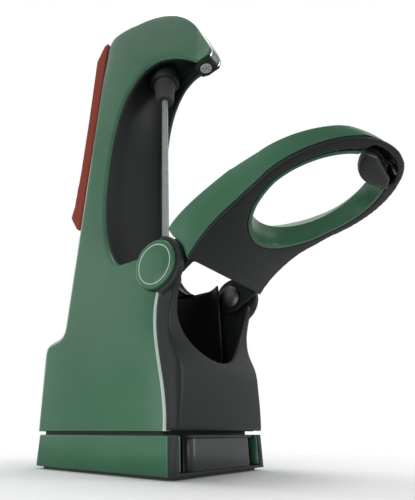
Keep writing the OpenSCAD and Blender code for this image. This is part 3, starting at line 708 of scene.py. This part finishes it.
@dataclass(frozen=True)
class SideProfile:
    """Side outline of the covers, station by station, in millimetres."""

    base_w: float = 92.0
    body_z: float = 22.5
    housing_back: float = -65.5
    housing_lean: float = 4.0
    ledge_z: float = 84.0
    column_back: float = -47.0
    column_lean: float = 12.0
    crown_z: float = 421.0
    crown_half: float = 38.0
    sill_z: float = 129.0
    arch_z: float = 347.0
    nose_x: float = 81.0
    nose_z: float = 329.0
    nose_half: float = 9.0
    bay_x: float = 17.5
    front_x: float = 63.5
    hinge: Point2 = (51.0, 117.5)
    apex_back: float = 15.0
    apex_rise: float = 0.565
    nose_h: float = 5.0
    nose_slant: float = 3.5
    nose_draft: float = 2.0
    back_handle: Point2 = (45.0, 9.5)
    front_handle: Point2 = (-15.0, 6.0)
    window_share: float = 0.38
    taper_start: float = -40.0
    taper_power: float = 1.5
    edge_r: float = 6.0
    head_r: float = 3.0
    head_blend: float = 50.0
    least_r: float = 1.6
    finer: int = 4
    parting_stations: int = 8
    window_first: int = 12
    arch_last: int = 34
    cap_stations: int = 6

    def lines(self) -> tuple[list[Point2], list[Point2]]:
        """Outer line and edge line, with one point each per station.

        Returns:
            The outer line and the line of the parting and the window.
        """
        k = self.finer
        foot = (self.housing_back, self.body_z)
        top = (self.housing_back - self.housing_lean, self.ledge_z)
        column = (self.column_back, self.ledge_z + 4.0)
        corner = (self.column_back + self.column_lean, self.crown_z)
        apex = (self.nose_x - self.apex_back, self.nose_z + self.apex_rise * (self.crown_z - self.nose_z))
        nose = (self.nose_x, self.nose_z + self.nose_h)
        nose_foot = (self.nose_x - self.nose_slant, self.nose_z)
        sill = between(column, corner, (self.sill_z - column[1]) / (self.crown_z - column[1]))
        window = between(column, corner, self.window_share)
        handle = shifted((apex[0], self.crown_z), *self.front_handle)
        crown = (corner, shifted(corner, *self.back_handle), handle, apex)
        front = straight(apex, nose)
        corners = (foot, top, column, sill, window, corner)
        outer: list[Point2] = []
        for a, b, n in zip(corners, corners[1:], (4, 2, 6, 6, 7)):
            outer += [between(a, b, i / (n * k)) for i in range(n * k)]
        outer += [bezier(crown, i / (6 * k)) for i in range(6 * k)]
        outer += [bezier(front, i / (4 * k)) for i in range(4 * k)]
        outer += [between(nose, nose_foot, i / k) for i in range(k + 1)]
        return self.softened(outer, 3 * k // 2), self.edge_line()

    def edge_line(self) -> list[Point2]:
        """Line of the parting and of the window's edge.

        Returns:
            One point per station.
        """
        k = self.finer
        foot = (self.front_x - 8.0, self.body_z)
        waist = (self.front_x - 15.5, self.ledge_z)
        head = (self.hinge[0] + 3.0, self.hinge[1] - 10.5)
        under_cap = (self.hinge[0] - 8.5, self.hinge[1] - 5.0)
        sill_front = (self.hinge[0] - 17.0, self.sill_z - 0.5)
        sill_back = (self.bay_x - 3.5, self.sill_z)
        rear = (-14.0, self.sill_z + 93.0)
        arch = (self.bay_x + 10.5, self.arch_z)
        end = (self.nose_x - 17.0, self.nose_z)
        curves = (
            ((foot, shifted(foot, 1.5, 22.0), shifted(waist, 0.0, -22.0), waist), 5),
            ((waist, shifted(waist, 0.0, 12.0), shifted(head, -4.0, -5.0), head), 3),
            (straight(head, under_cap), 1),
            (straight(under_cap, sill_front), 1),
            (straight(sill_front, sill_back), 2),
            ((sill_back, shifted(sill_back, -20.0, 9.0), shifted(rear, 0.0, -42.0), rear), 6),
            ((rear, shifted(rear, 0.0, 68.0), shifted(arch, -32.0, -7.0), arch), 7),
            ((arch, shifted(arch, 18.0, 0.0), shifted(end, -8.0, 9.0), end), 11),
        )
        line: list[Point2] = []
        for curve, n in curves:
            line += [bezier(curve, i / (n * k)) for i in range(n * k)]
        return line + [end]

    @staticmethod
    def softened(line: list[Point2], passes: int) -> list[Point2]:
        """Round the corners of a line by averaging neighbours, with its ends held.

        Args:
            line: Points of the line.
            passes: How often it is averaged.

        Returns:
            The softened line.
        """
        for _ in range(passes):
            inner = [between(between(a, c, 0.5), b, 0.5) for a, b, c in zip(line, line[1:], line[2:])]
            line = [line[0], *inner, line[-1]]
        return line

    @staticmethod
    def inward(line: list[Point2], i: int) -> Point2:
        """Direction into the body at a point of the outer line.

        Args:
            line: The outer line.
            i: Number of the station.

        Returns:
            The direction, level at the end of the nose.
        """
        last = len(line) - 1
        d = unit(line[max(0, i - 1)], line[min(last, i + 1)])
        return (-1.0, 0.0) if i == last else (d[1], -d[0])

    def half_width(self, p: Point2) -> float:
        """Half width of the covers at a point of the side outline.

        Args:
            p: X and Z of the point.

        Returns:
            The half width.
        """
        run = self.nose_x - self.apex_back - self.taper_start
        u = clamp((p[0] - self.taper_start) / run)
        rise = clamp((p[1] - self.ledge_z) / (self.crown_z - self.ledge_z))
        column = self.base_w / 2.0 - (self.base_w / 2.0 - self.crown_half) * rise
        blend = ease((p[1] - self.sill_z) / (self.arch_z - self.sill_z))
        return column - blend * (self.crown_half - self.nose_half + self.nose_draft) * u ** self.taper_power

    def rounding(self, p: Point2) -> float:
        """Radius of the outer edge at a point of the outer line.

        Args:
            p: X and Z of the point.

        Returns:
            The radius, larger on the head and smaller on the narrow nose.
        """
        largest = self.edge_r + self.head_r * ease((p[1] - self.arch_z) / self.head_blend)
        return min(largest, max(self.least_r, 0.35 * (self.half_width(p) - self.nose_half / 2.0)))


@dataclass
class Housing:
    """Green covers, black bay, front shell and rear grip."""

    FLANK_SHARES = (0.12, 0.25, 0.4, 0.55, 0.7, 0.85)
    # Bevel lip at the edge of the covers; LIT_FACES of its faces along the parting line carry the pale line, a
    # painted highlight.
    LIT_EDGE = ((1.9, 0.0), (1.3, 0.1), (0.5, 0.75), (0.0, 1.3))
    LIT_FACES = 2
    ROUND_STEPS = 8

    dresser: Dresser
    profile: SideProfile = field(default_factory=SideProfile)
    wall: float = 2.4
    seam: float = 0.12
    cap_t: float = 2.3
    rim_w: float = 5.0
    tongue: float = 2.2
    bay_r: float = 42.7
    least_depth: float = 7.0
    liner_t: float = 1.8
    liner_gap: float = 0.3
    liner_steps: int = 32

    def build(self) -> None:
        """Build and dress every piece of the housing."""
        self.covers()
        self.liner()
        self.rim()
        self.dresser.flowing("front_shell", Finish.BLACK, "black", 0.8, 14)
        self.dresser.flowing("rear_grip", Finish.TERRACOTTA, "terracotta", 0.9, 8)
        self.dresser.node("body_floor", Finish.BLACK, "black", 0.4)
        self.dresser.flowing("bottle_cup", Finish.LINER, "black", 0.7, 8)
        self.dresser.node("bottle_pad", Finish.RUBBER, "rubber", 0.2)

    def cover_row(
        self, o: Point2, e: Point2, m: Point2, t: float, inset: float, tongue: float
    ) -> list[Point3]:
        """One section of a cover.

        Args:
            o: Point of the outer line.
            e: Point of the edge line.
            m: Inward direction at the outer line.
            t: Depth below the outer face.
            inset: Depth of the seat for the nose cap.
            tongue: How far the inner face reaches behind the front shell.

        Returns:
            The points from the seam to the edge.
        """
        w = self.profile.half_width(o)
        r = self.profile.rounding(o)
        seat = shifted(o, (inset + t) * m[0], (inset + t) * m[1])
        row = [(seat[0], self.seam, seat[1])]
        row += [(seat[0], (w - r - 0.6 - (t if inset else 0.0)) * s, seat[1]) for s in (0.5, 1.0)]
        for k in range(self.ROUND_STEPS + 1):
            a = math.radians(90.0 * k / self.ROUND_STEPS)
            d = t + (r - t) * (1.0 - math.cos(a))
            p = shifted(o, d * m[0], d * m[1])
            y = w - r + (r - t) * math.sin(a) + (self.profile.half_width(p) - w) * math.sin(a)
            row.append((p[0], y, p[1]))
        turn = shifted(o, r * m[0], r * m[1])
        reach = math.hypot(e[0] - turn[0], e[1] - turn[1])
        steps = [(s, 0.0) for s in self.FLANK_SHARES]
        steps += [(max(0.86, 1.0 - back / reach), lip) for back, lip in self.LIT_EDGE]
        for s, lip in steps:
            p = between(turn, e, s)
            row.append((p[0], self.profile.half_width(p) - t - (0.0 if t else lip), p[1]))
        if tongue:
            p = between(turn, e, 1.0 + tongue / reach)
            row[-1] = (p[0], row[-1][1], p[1])
        return row

    def covers(self) -> None:
        """Left and right cover with soft edges, finer than the CAD sections."""
        outer, edge = self.profile.lines()
        last = len(outer) - 1
        k = self.profile.finer
        start = last - self.profile.cap_stations * k - 1
        grids: list[Grid] = []
        for t in (0.0, self.wall):
            rows = []
            for i, (o, e) in enumerate(zip(outer, edge)):
                m = self.profile.inward(outer, i)
                tongue = self.tongue if t and i < self.profile.parting_stations * k else 0.0
                rows.append(self.cover_row(o, e, m, t, self.cap_t if i > start else 0.0, tongue))
            grids.append(rows)
        for name, side in (("right_cover", 1.0), ("left_cover", -1.0)):
            self.thin_wall(f"{name}_skin", name, grids, side)

    def thin_wall(self, name: str, node: str, grids: list[Grid], side: float) -> None:
        """Close two grids to a thin wall, with its inside faces in the darker bay black as painted shade and a
        painted highlight in pale line on the bevel along the parting line.

        Args:
            name: Name of the piece.
            node: The CAD node that it replaces.
            grids: Outer and inner rows of points.
            side: One for the +Y side, minus one for its mirror image.
        """
        m, n = len(grids[0]), len(grids[0][0])
        points = [(p[0], p[1] * side, p[2]) for grid in grids for row in grid for p in row]
        shift = m * n
        faces = Mesher.quads(m, n, False, False)
        faces += [tuple(shift + v for v in reversed(f)) for f in faces]
        for i in range(m - 1):
            a, b = i * n, i * n + n - 1
            faces.append((a, a + n, shift + a + n, shift + a))
            faces.append((b, shift + b, shift + b + n, b + n))
        for j in range(n - 1):
            b = (m - 1) * n + j
            faces.append((j, shift + j, shift + j + 1, j + 1))
            faces.append((b, b + 1, shift + b + 1, shift + b))
        if side < 0.0:
            faces = [tuple(reversed(f)) for f in faces]
        obj = Mesher.build(name, points, faces)
        self.dresser.piece(obj, Finish.COVER, "green", "body", (node,), 40.0)
        # Second and third slot: bay black on the inside faces as painted shade, pale line on the last faces
        # along the parting line as a painted highlight.
        for finish in (Finish.LINER, Finish.LINE):
            obj.data.materials.append(self.dresser.material(finish))
        inside = (m - 1) * (n - 1)
        for face in obj.data.polygons[inside:2 * inside]:
            face.material_index = 1
        for i in range(1, self.profile.parting_stations * self.profile.finer + 1):
            for face in obj.data.polygons[i * (n - 1) - self.LIT_FACES:i * (n - 1)]:
                face.material_index = 2

    def depth(self, i: int, o: Point2, e: Point2) -> float:
        """Depth of the bay behind the window's edge at a station.

        Args:
            i: Number of the station.
            o: Point of the outer line.
            e: Point of the edge line.

        Returns:
            The depth in millimetres.
        """
        k = self.profile.finer
        full = max(self.least_depth, e[0] - self.profile.bay_x + self.bay_r)
        if i < 18 * k:
            return full
        reach = math.hypot(o[0] - e[0], o[1] - e[1])
        fade = clamp((self.profile.arch_last * k - i) / (2.0 * k))
        return min(2.5 + 7.0 * fade + 5.0 * max(0.0, fade - 0.5), full, 0.4 * reach)

    def liner(self) -> None:
        """Bay liner: a smooth trough that runs up into the arch under the head."""
        outer, edge = self.profile.lines()
        k = self.profile.finer
        inner_steps = range(self.liner_steps + 1)
        rows = []
        for i in range(self.profile.window_first * k, self.profile.arch_last * k + 1):
            o, e = outer[i], edge[i]
            d = unit(e, o)
            gap = self.liner_gap * (1.0 + clamp(i / k - 30.0))
            half = self.profile.half_width(e) - self.wall - gap
            reach = self.depth(i, o, e)
            ring = []
            for t, steps in ((0.0, inner_steps), (self.liner_t, reversed(inner_steps))):
                for s in steps:
                    a = math.pi * s / self.liner_steps
                    p = shifted(e, d[0] * (reach + t) * math.sin(a), d[1] * (reach + t) * math.sin(a))
                    ring.append((p[0], -(half - self.liner_t + t) * math.cos(a), p[1]))
            rows.append(ring)
        obj = Mesher.tube("bay_liner_skin", rows)
        self.dresser.piece(obj, Finish.LINER, "black", "body", ("bay_liner",), 50.0)

    def rim(self) -> None:
        """Bevelled black rim inside the edge of each side window."""
        outer, edge = self.profile.lines()
        k = self.profile.finer
        for name, side in (("right_window_rim", 1.0), ("left_window_rim", -1.0)):
            rings = []
            for i in range(self.profile.window_first * k, (self.profile.arch_last - 1) * k):
                e, d = edge[i], unit(edge[i], outer[i])
                half = self.profile.half_width(e) - self.wall - 0.35
                w = min(self.rim_w, 0.4 * half)
                foot = w * 0.85
                section = ((0.2, 0.0), (0.5, 0.7), (foot, w), (foot + 1.2, w - 0.6), (foot + 1.2, 0.0))
                rings.append([(e[0] + d[0] * a, side * (half - b), e[1] + d[1] * a) for a, b in section])
            obj = Mesher.tube(name, rings)
            self.dresser.piece(obj, Finish.BLACK, "black", "body", (), 50.0)


@dataclass
class Head:
    """Nose cap, trim lines, nozzle, aerator and stopper."""

    dresser: Dresser
    profile: SideProfile = field(default_factory=SideProfile)
    cap_t: float = 2.1
    line_w: float = 1.0
    seat_gap: float = 0.75

    def build(self) -> None:
        """Build and dress every piece of the head."""
        self.nose()
        self.dresser.node("nozzle_body", Finish.BLACK, "black", 0.5)
        self.dresser.node("aerator_disc", Finish.PALE, "pale_grey", 0.3)
        self.dresser.node("stopper_socket", Finish.BLACK, "black", 0.8, 3)
        self.dresser.node("bottle_stopper", Finish.RUBBER, "rubber", 0.5)
        self.dresser.node("dip_tube", Finish.CLEAR, "clear", 0.1)

    def nose(self) -> None:
        """Nose cap and its two bright lines, on the same fine stations as the covers."""
        outer, _ = self.profile.lines()
        last = len(outer) - 1
        cap, near, far = [], [], []
        for i in range(last - self.profile.cap_stations * self.profile.finer, last + 1):
            o, m = outer[i], self.profile.inward(outer, i)
            w = self.profile.half_width(o)
            end = w - self.profile.rounding(o) - self.seat_gap
            line = end - self.line_w
            half = line - 0.1
            flank = [(half, self.cap_t), (half, 0.3), (half - 0.4, 0.0), (half / 2.0, -0.12)]
            face = [*flank, (0.0, -0.16), *((-y, d) for y, d in reversed(flank))]
            strip = [(line, self.cap_t), (line, 0.0), (line + 0.2, -0.3)]
            strip += [(end - 0.2, -0.3), (end, 0.0), (end, self.cap_t)]
            cap.append([(o[0] + d * m[0], y, o[1] + d * m[1]) for y, d in face])
            far.append([(o[0] + d * m[0], y, o[1] + d * m[1]) for y, d in strip])
            near.append([(o[0] + d * m[0], -y, o[1] + d * m[1]) for y, d in reversed(strip)])
        self.dresser.piece(
            Mesher.tube("nose_cap_skin", cap), Finish.NOSE, "graphite", "body", ("nose_cap",), 50.0
        )
        for name, rings in (("left_nose_line", near), ("right_nose_line", far)):
            stands_for = ("nose_trim",) if name.startswith("left") else ()
            self.dresser.piece(Mesher.tube(name, rings), Finish.SILVER, "silver", "body", stands_for, 50.0)


@dataclass
class GlassRing:
    """Hinged ring with its press pad and hinge caps."""

    dresser: Dresser
    hole: Point2 = (140.0, 39.5)
    pad_low: float = 153.6
    pad_high: float = 160.8
    pad_bulge: float = 12.5
    pad_half: float = 21.0
    pad_r: float = 30.0
    pad_back_r: float = 41.6
    pad_square: float = 0.7
    pad_steps: int = 20
    pad_sides: int = 24
    hinge: Point2 = (51.0, 117.5)
    core_r: float = 44.5
    pocket_from: float = 25.0
    pad_travel: float = 2.5
    spring_start: float = 179.8
    spring_end: float = 185.3
    spring_z: float = 158.7
    spring_r: float = 1.5
    spring_turns: int = 3
    turn_steps: int = 24
    wire_r: float = 0.3
    wire_sides: int = 10
    ear_y: float = 48.6
    cap_r: float = 16.4

    def build(self) -> None:
        """Build and dress every piece of the ring."""
        self.dresser.node("ring_cover", Finish.GREEN, "green", 1.0, 3)
        self.paint_pocket_shade()
        self.dresser.flowing("ring_frame", Finish.BLACK, "black", 0.7, 8)
        self.pad()
        self.hinge_caps()
        for side in ("left", "right"):
            self.dresser.node(f"{side}_hinge_bush", Finish.BRASS, "brass", 0.2)
            self.dresser.node(f"{side}_hinge_pin", Finish.DARK_STEEL, "steel", 0.4)
        self.dresser.node("pad_switch", Finish.GRAPHITE, "graphite", 0.2)
        self.spring()

    def pad(self) -> None:
        """Press pad: a rounded lens that stands out into the hole."""
        x0 = self.hole[0] + self.hole[1] - self.pad_bulge
        front = self.hole[0] + self.hole[1]
        low, high = self.pad_low, self.pad_high
        rings = []
        for k in range(-self.pad_steps, self.pad_steps + 1):
            s = k / self.pad_steps
            half = self.pad_half * math.sin(s * math.pi / 2.0)
            back = x0 + self.pad_r - math.sqrt(self.pad_r ** 2 - half ** 2)
            ring = []
            soft = max(0.05, math.cos(s * math.pi / 2.0))
            mid, rise = (low + high) / 2.0, (high - low) / 2.0 * (0.55 + 0.45 * soft ** 0.5)
            face = min(front, self.hole[0] + math.sqrt(self.pad_back_r ** 2 - half ** 2))
            deep = max(0.2, face - back)
            for j in range(self.pad_sides):
                a = 2.0 * math.pi * j / self.pad_sides
                c, n = math.cos(a), math.sin(a)
                px = math.copysign(abs(c) ** self.pad_square, c)
                pz = math.copysign(abs(n) ** self.pad_square, n)
                ring.append((face - deep / 2.0 + px * deep / 2.0, half, mid + pz * rise))
            rings.append(ring)
        obj = Mesher.tube("press_pad_skin", rings)
        self.dresser.piece(obj, Finish.BLACK, "black", "pad", ("press_pad",), 50.0)

    def paint_pocket_shade(self) -> None:
        """Painted shade: the dark bay black on the inner faces of the ring cover, round the pocket of the press
        pad.
        """
        obj = self.dresser.nodes["ring_cover"]
        obj.data.materials.append(self.dresser.material(Finish.LINER))
        for face in obj.data.polygons:
            point = (obj.matrix_world @ face.center) / MM
            across = Vector((point.x - self.hole[0], point.y, 0.0))
            middle = Vector((self.hole[0], 0.0, self.spring_z)) + across.normalized() * self.core_r
            # Inner faces towards the pocket get the dark bay black as painted shade.
            if across.x > self.pocket_from and (point - middle).dot(face.normal) < 0.0:
                face.material_index = 1

    def spring(self) -> None:
        """Coil behind the press pad, built at its rest length."""
        length = self.spring_end - self.spring_start
        pitch = (length - 2.0 * self.wire_r) / self.spring_turns
        angles = [2.0 * math.pi * j / self.wire_sides for j in range(self.wire_sides)]
        rings = []
        for k in range(self.turn_steps * self.spring_turns + 1):
            a = 2.0 * math.pi * k / self.turn_steps
            out = Vector((0.0, math.cos(a), math.sin(a)))
            along = Vector((pitch / (2.0 * math.pi), -self.spring_r * out.z, self.spring_r * out.y))
            side = along.normalized().cross(out)
            x = self.spring_start + self.wire_r + pitch * k / self.turn_steps
            middle = Vector((x, 0.0, self.spring_z)) + self.spring_r * out
            rings.append([middle + self.wire_r * (math.cos(b) * out + math.sin(b) * side) for b in angles])
        obj = Mesher.tube("pad_spring_coil", rings)
        # The coil takes the darkened steel as painted shade in the pocket.
        self.dresser.piece(obj, Finish.STEEL_IN_SHADE, "steel", "ring", ("pad_spring",), 60.0)
        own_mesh(obj)

    def hinge_caps(self) -> None:
        """Domed caps over the hinge with a plain pale ring line."""
        r = self.cap_r
        profile = [(0.0, 2.6), (r * 0.4, 2.55), (r - 4.2, 2.4), (r - 3.9, 2.3), (r - 3.7, 1.95), (r - 2.9, 1.95)]
        profile += [(r - 2.7, 2.25), (r - 1.2, 2.2), (r - 0.4, 1.9), (r, 1.3), (r, 0.0), (0.0, 0.0)]
        line = [(r - 3.68, 1.9), (r - 3.6, 2.2), (r - 3.3, 2.3), (r - 3.0, 2.2), (r - 2.92, 1.9)]
        line.append(line[0])
        for name, side in (("right", 1.0), ("left", -1.0)):
            def place(x: float, y: float, h: float, s: float = side) -> Point3:
                """Point of the cap on its side of the body."""
                return (self.hinge[0] + x, s * (self.ear_y + h), self.hinge[1] + y * s)

            cap = Mesher.lathe(f"{name}_hinge_cap_dome", profile, place)
            self.dresser.piece(cap, Finish.GREEN, "green", "body", (f"{name}_hinge_cap",), 40.0)
            ring = Mesher.lathe(f"{name}_hinge_cap_line", line, place)
            self.dresser.piece(ring, Finish.LINE, "green", "body", (), 60.0)


@dataclass
class Base:
    """Block base with its skirt, tray, mat and battery drawer."""

    dresser: Dresser

    def build(self) -> None:
        """Dress every piece of the base."""
        self.dresser.node("foot_mat", Finish.RUBBER, "rubber", 0.3)
        self.dresser.node("base_skirt", Finish.GREEN, "green", 0.7, 3)
        self.dresser.node("base_tray", Finish.BLACK, "black", 0.5)
        self.dresser.node("battery_drawer", Finish.DRAWER, "black", 0.4)
        self.dresser.node("battery_cells", Finish.CELL, "cell", 0.6)
        self.dresser.node("battery_contacts", Finish.BRASS, "brass")
        self.dresser.node("supply_pins", Finish.BRASS, "brass", 0.2)
        self.dresser.node("case_screws", Finish.STEEL, "steel", 0.2)


@dataclass
class Workings:
    """Pump, hoses and board inside the body."""

    dresser: Dresser

    def build(self) -> None:
        """Dress every piece of the workings."""
        self.dresser.node("pump_motor", Finish.STEEL, "steel", 0.4)
        self.dresser.node("pump_head", Finish.GRAPHITE, "graphite", 0.5)
        self.dresser.node("pump_bracket", Finish.STEEL, "steel", 0.3)
        self.dresser.node("control_board", Finish.BOARD, "board")
        self.dresser.node("pour_hose", Finish.CLEAR, "clear")
        self.dresser.node("air_hose", Finish.RUBBER, "rubber")


@dataclass(frozen=True)
class Softbox:
    """Soft area light: where it stands and what it faces, in metres, its size and its watts."""

    name: str
    place: Point3
    aim: Point3
    size: Point2
    power: float

    def add(self) -> None:
        """Put the light into the scene."""
        data = bpy.data.lights.new(self.name, "AREA")
        data.shape = "RECTANGLE"
        data.size, data.size_y = self.size
        data.energy = self.power
        obj = bpy.data.objects.new(self.name, data)
        obj.location = self.place
        obj.rotation_euler = (Vector(self.aim) - Vector(self.place)).to_track_quat("-Z", "Y").to_euler()
        bpy.context.scene.collection.objects.link(obj)


@dataclass
class Studio:
    """White studio: floor, soft lights and the camera of the photograph."""

    WHITE = (1.0, 1.0, 1.0)
    SOFT_GREY = (0.6, 0.62, 0.64)
    LIGHTS = (
        Softbox("key", (0.0, -0.8, 0.06), (0.02, 0.0, 0.1), (1.1, 0.4), 5.5),
        Softbox("low_sheen", (-0.86, -0.84, 0.5), (0.02, -0.04, 0.1), (0.25, 0.5), 0.7),
        Softbox("high_sheen", (-0.65, -0.63, 1.6), (0.02, -0.03, 0.38), (0.3, 0.4), 0.3),
        Softbox("edge", (1.0, -0.95, 0.45), (0.05, -0.03, 0.15), (0.12, 0.6), 0.7),
        Softbox("left", (-1.2, -0.1, 0.6), (0.0, 0.0, 0.22), (0.5, 1.0), 4.0),
        Softbox("right", (1.2, 0.55, 0.3), (0.05, 0.0, 0.1), (0.4, 0.8), 8.5),
        Softbox("top", (0.0, 0.1, 1.4), (0.03, 0.0, 0.2), (0.7, 0.7), 11.0),
    )

    focal_px: float = 382.5
    long_side_px: float = 500.0
    axis_px: float = 161.85
    width_px: float = 415.0
    pitch: float = 25.53
    yaw: float = 41.19
    place_mm: Point3 = (200.2, -213.35, 21.72)
    sensor_mm: float = 36.0
    floor_half: float = 900.0
    floor_z: float = -0.2
    fade_start: float = 0.09
    fade_end: float = 0.32
    ambient: float = 0.27

    def build(self) -> None:
        """Set up camera, floor, lights and background."""
        self.camera()
        self.floor()
        self.background()
        for light in self.LIGHTS:
            light.add()
        bpy.context.scene.view_settings.view_transform = "Standard"
        LOG.info("studio ready")

    def camera(self) -> None:
        """Camera with the position, direction and lens solved from the photograph."""
        data = bpy.data.cameras.new("camera")
        data.sensor_width = self.sensor_mm
        data.lens = self.focal_px / self.long_side_px * self.sensor_mm
        data.shift_x = (self.width_px / 2.0 - self.axis_px) / self.long_side_px
        data.clip_start = 0.01
        obj = bpy.data.objects.new("camera", data)
        p, y = math.radians(self.pitch), math.radians(self.yaw)
        forward = Vector((-math.cos(p) * math.sin(y), math.cos(p) * math.cos(y), math.sin(p)))
        right = Vector((math.cos(y), math.sin(y), 0.0))
        up = right.cross(forward)
        turn = Matrix((right, up, -forward)).transposed().to_4x4()
        obj.matrix_world = Matrix.Translation(Vector(self.place_mm) * MM) @ turn
        bpy.context.scene.collection.objects.link(obj)
        bpy.context.scene.camera = obj

    def floor(self) -> None:
        """Pale floor under the pourer that fades into the white."""
        half = self.floor_half
        corners = ((-half, -half), (half, -half), (half, half), (-half, half))
        obj = Mesher.build("floor", [(x, y, self.floor_z) for x, y in corners], [(0, 1, 2, 3)])
        graph = Graph.named("pale_floor")
        cloud = graph.noise(3.0)
        length = graph.node("ShaderNodeVectorMath", {"operation": "LENGTH"}, {0: graph.place()})
        reach = graph.wire(length, "Value")
        obj.data.materials.append(
            graph.finish(
                Base_Color=graph.mix(cloud, (0.94, 0.94, 0.94), (0.97, 0.97, 0.97)),
                Roughness=0.9,
                Alpha=((self.fade_end - reach) / (self.fade_end - self.fade_start)).clamped(),
            )
        )

    def background(self) -> None:
        """White to the camera and in reflections, softer grey as a light."""
        world = bpy.data.worlds.new("studio")
        bpy.context.scene.world = world
        graph = Graph(world)
        path = graph.node("ShaderNodeLightPath")
        kinds = ("Is Camera Ray", "Is Glossy Ray", "Is Transmission Ray")
        direct, glossy, through = (graph.wire(path, kind) for kind in kinds)
        seen = (direct + glossy + through).clamped()
        soft, white = (
            graph.wire(graph.node("ShaderNodeBackground", None, {"Color": (*colour, 1.0), "Strength": strength}))
            for colour, strength in ((self.SOFT_GREY, self.ambient), (self.WHITE, 1.0))
        )
        mix = graph.node("ShaderNodeMixShader", None, {0: seen, 1: soft, 2: white})
        graph.node("ShaderNodeOutputWorld", None, {"Surface": graph.wire(mix)})


def main() -> None:
    """Build the pourer's looks in order."""
    logging.basicConfig(level=logging.INFO, format="%(name)s: %(message)s")
    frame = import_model()
    dresser = Dresser(frame)
    for assembly in (Housing(dresser), Head(dresser), GlassRing(dresser), Base(dresser), Workings(dresser)):
        assembly.build()
        LOG.info("%s done", type(assembly).__name__)
    Studio().build()


if __name__ == "__main__":
    main()
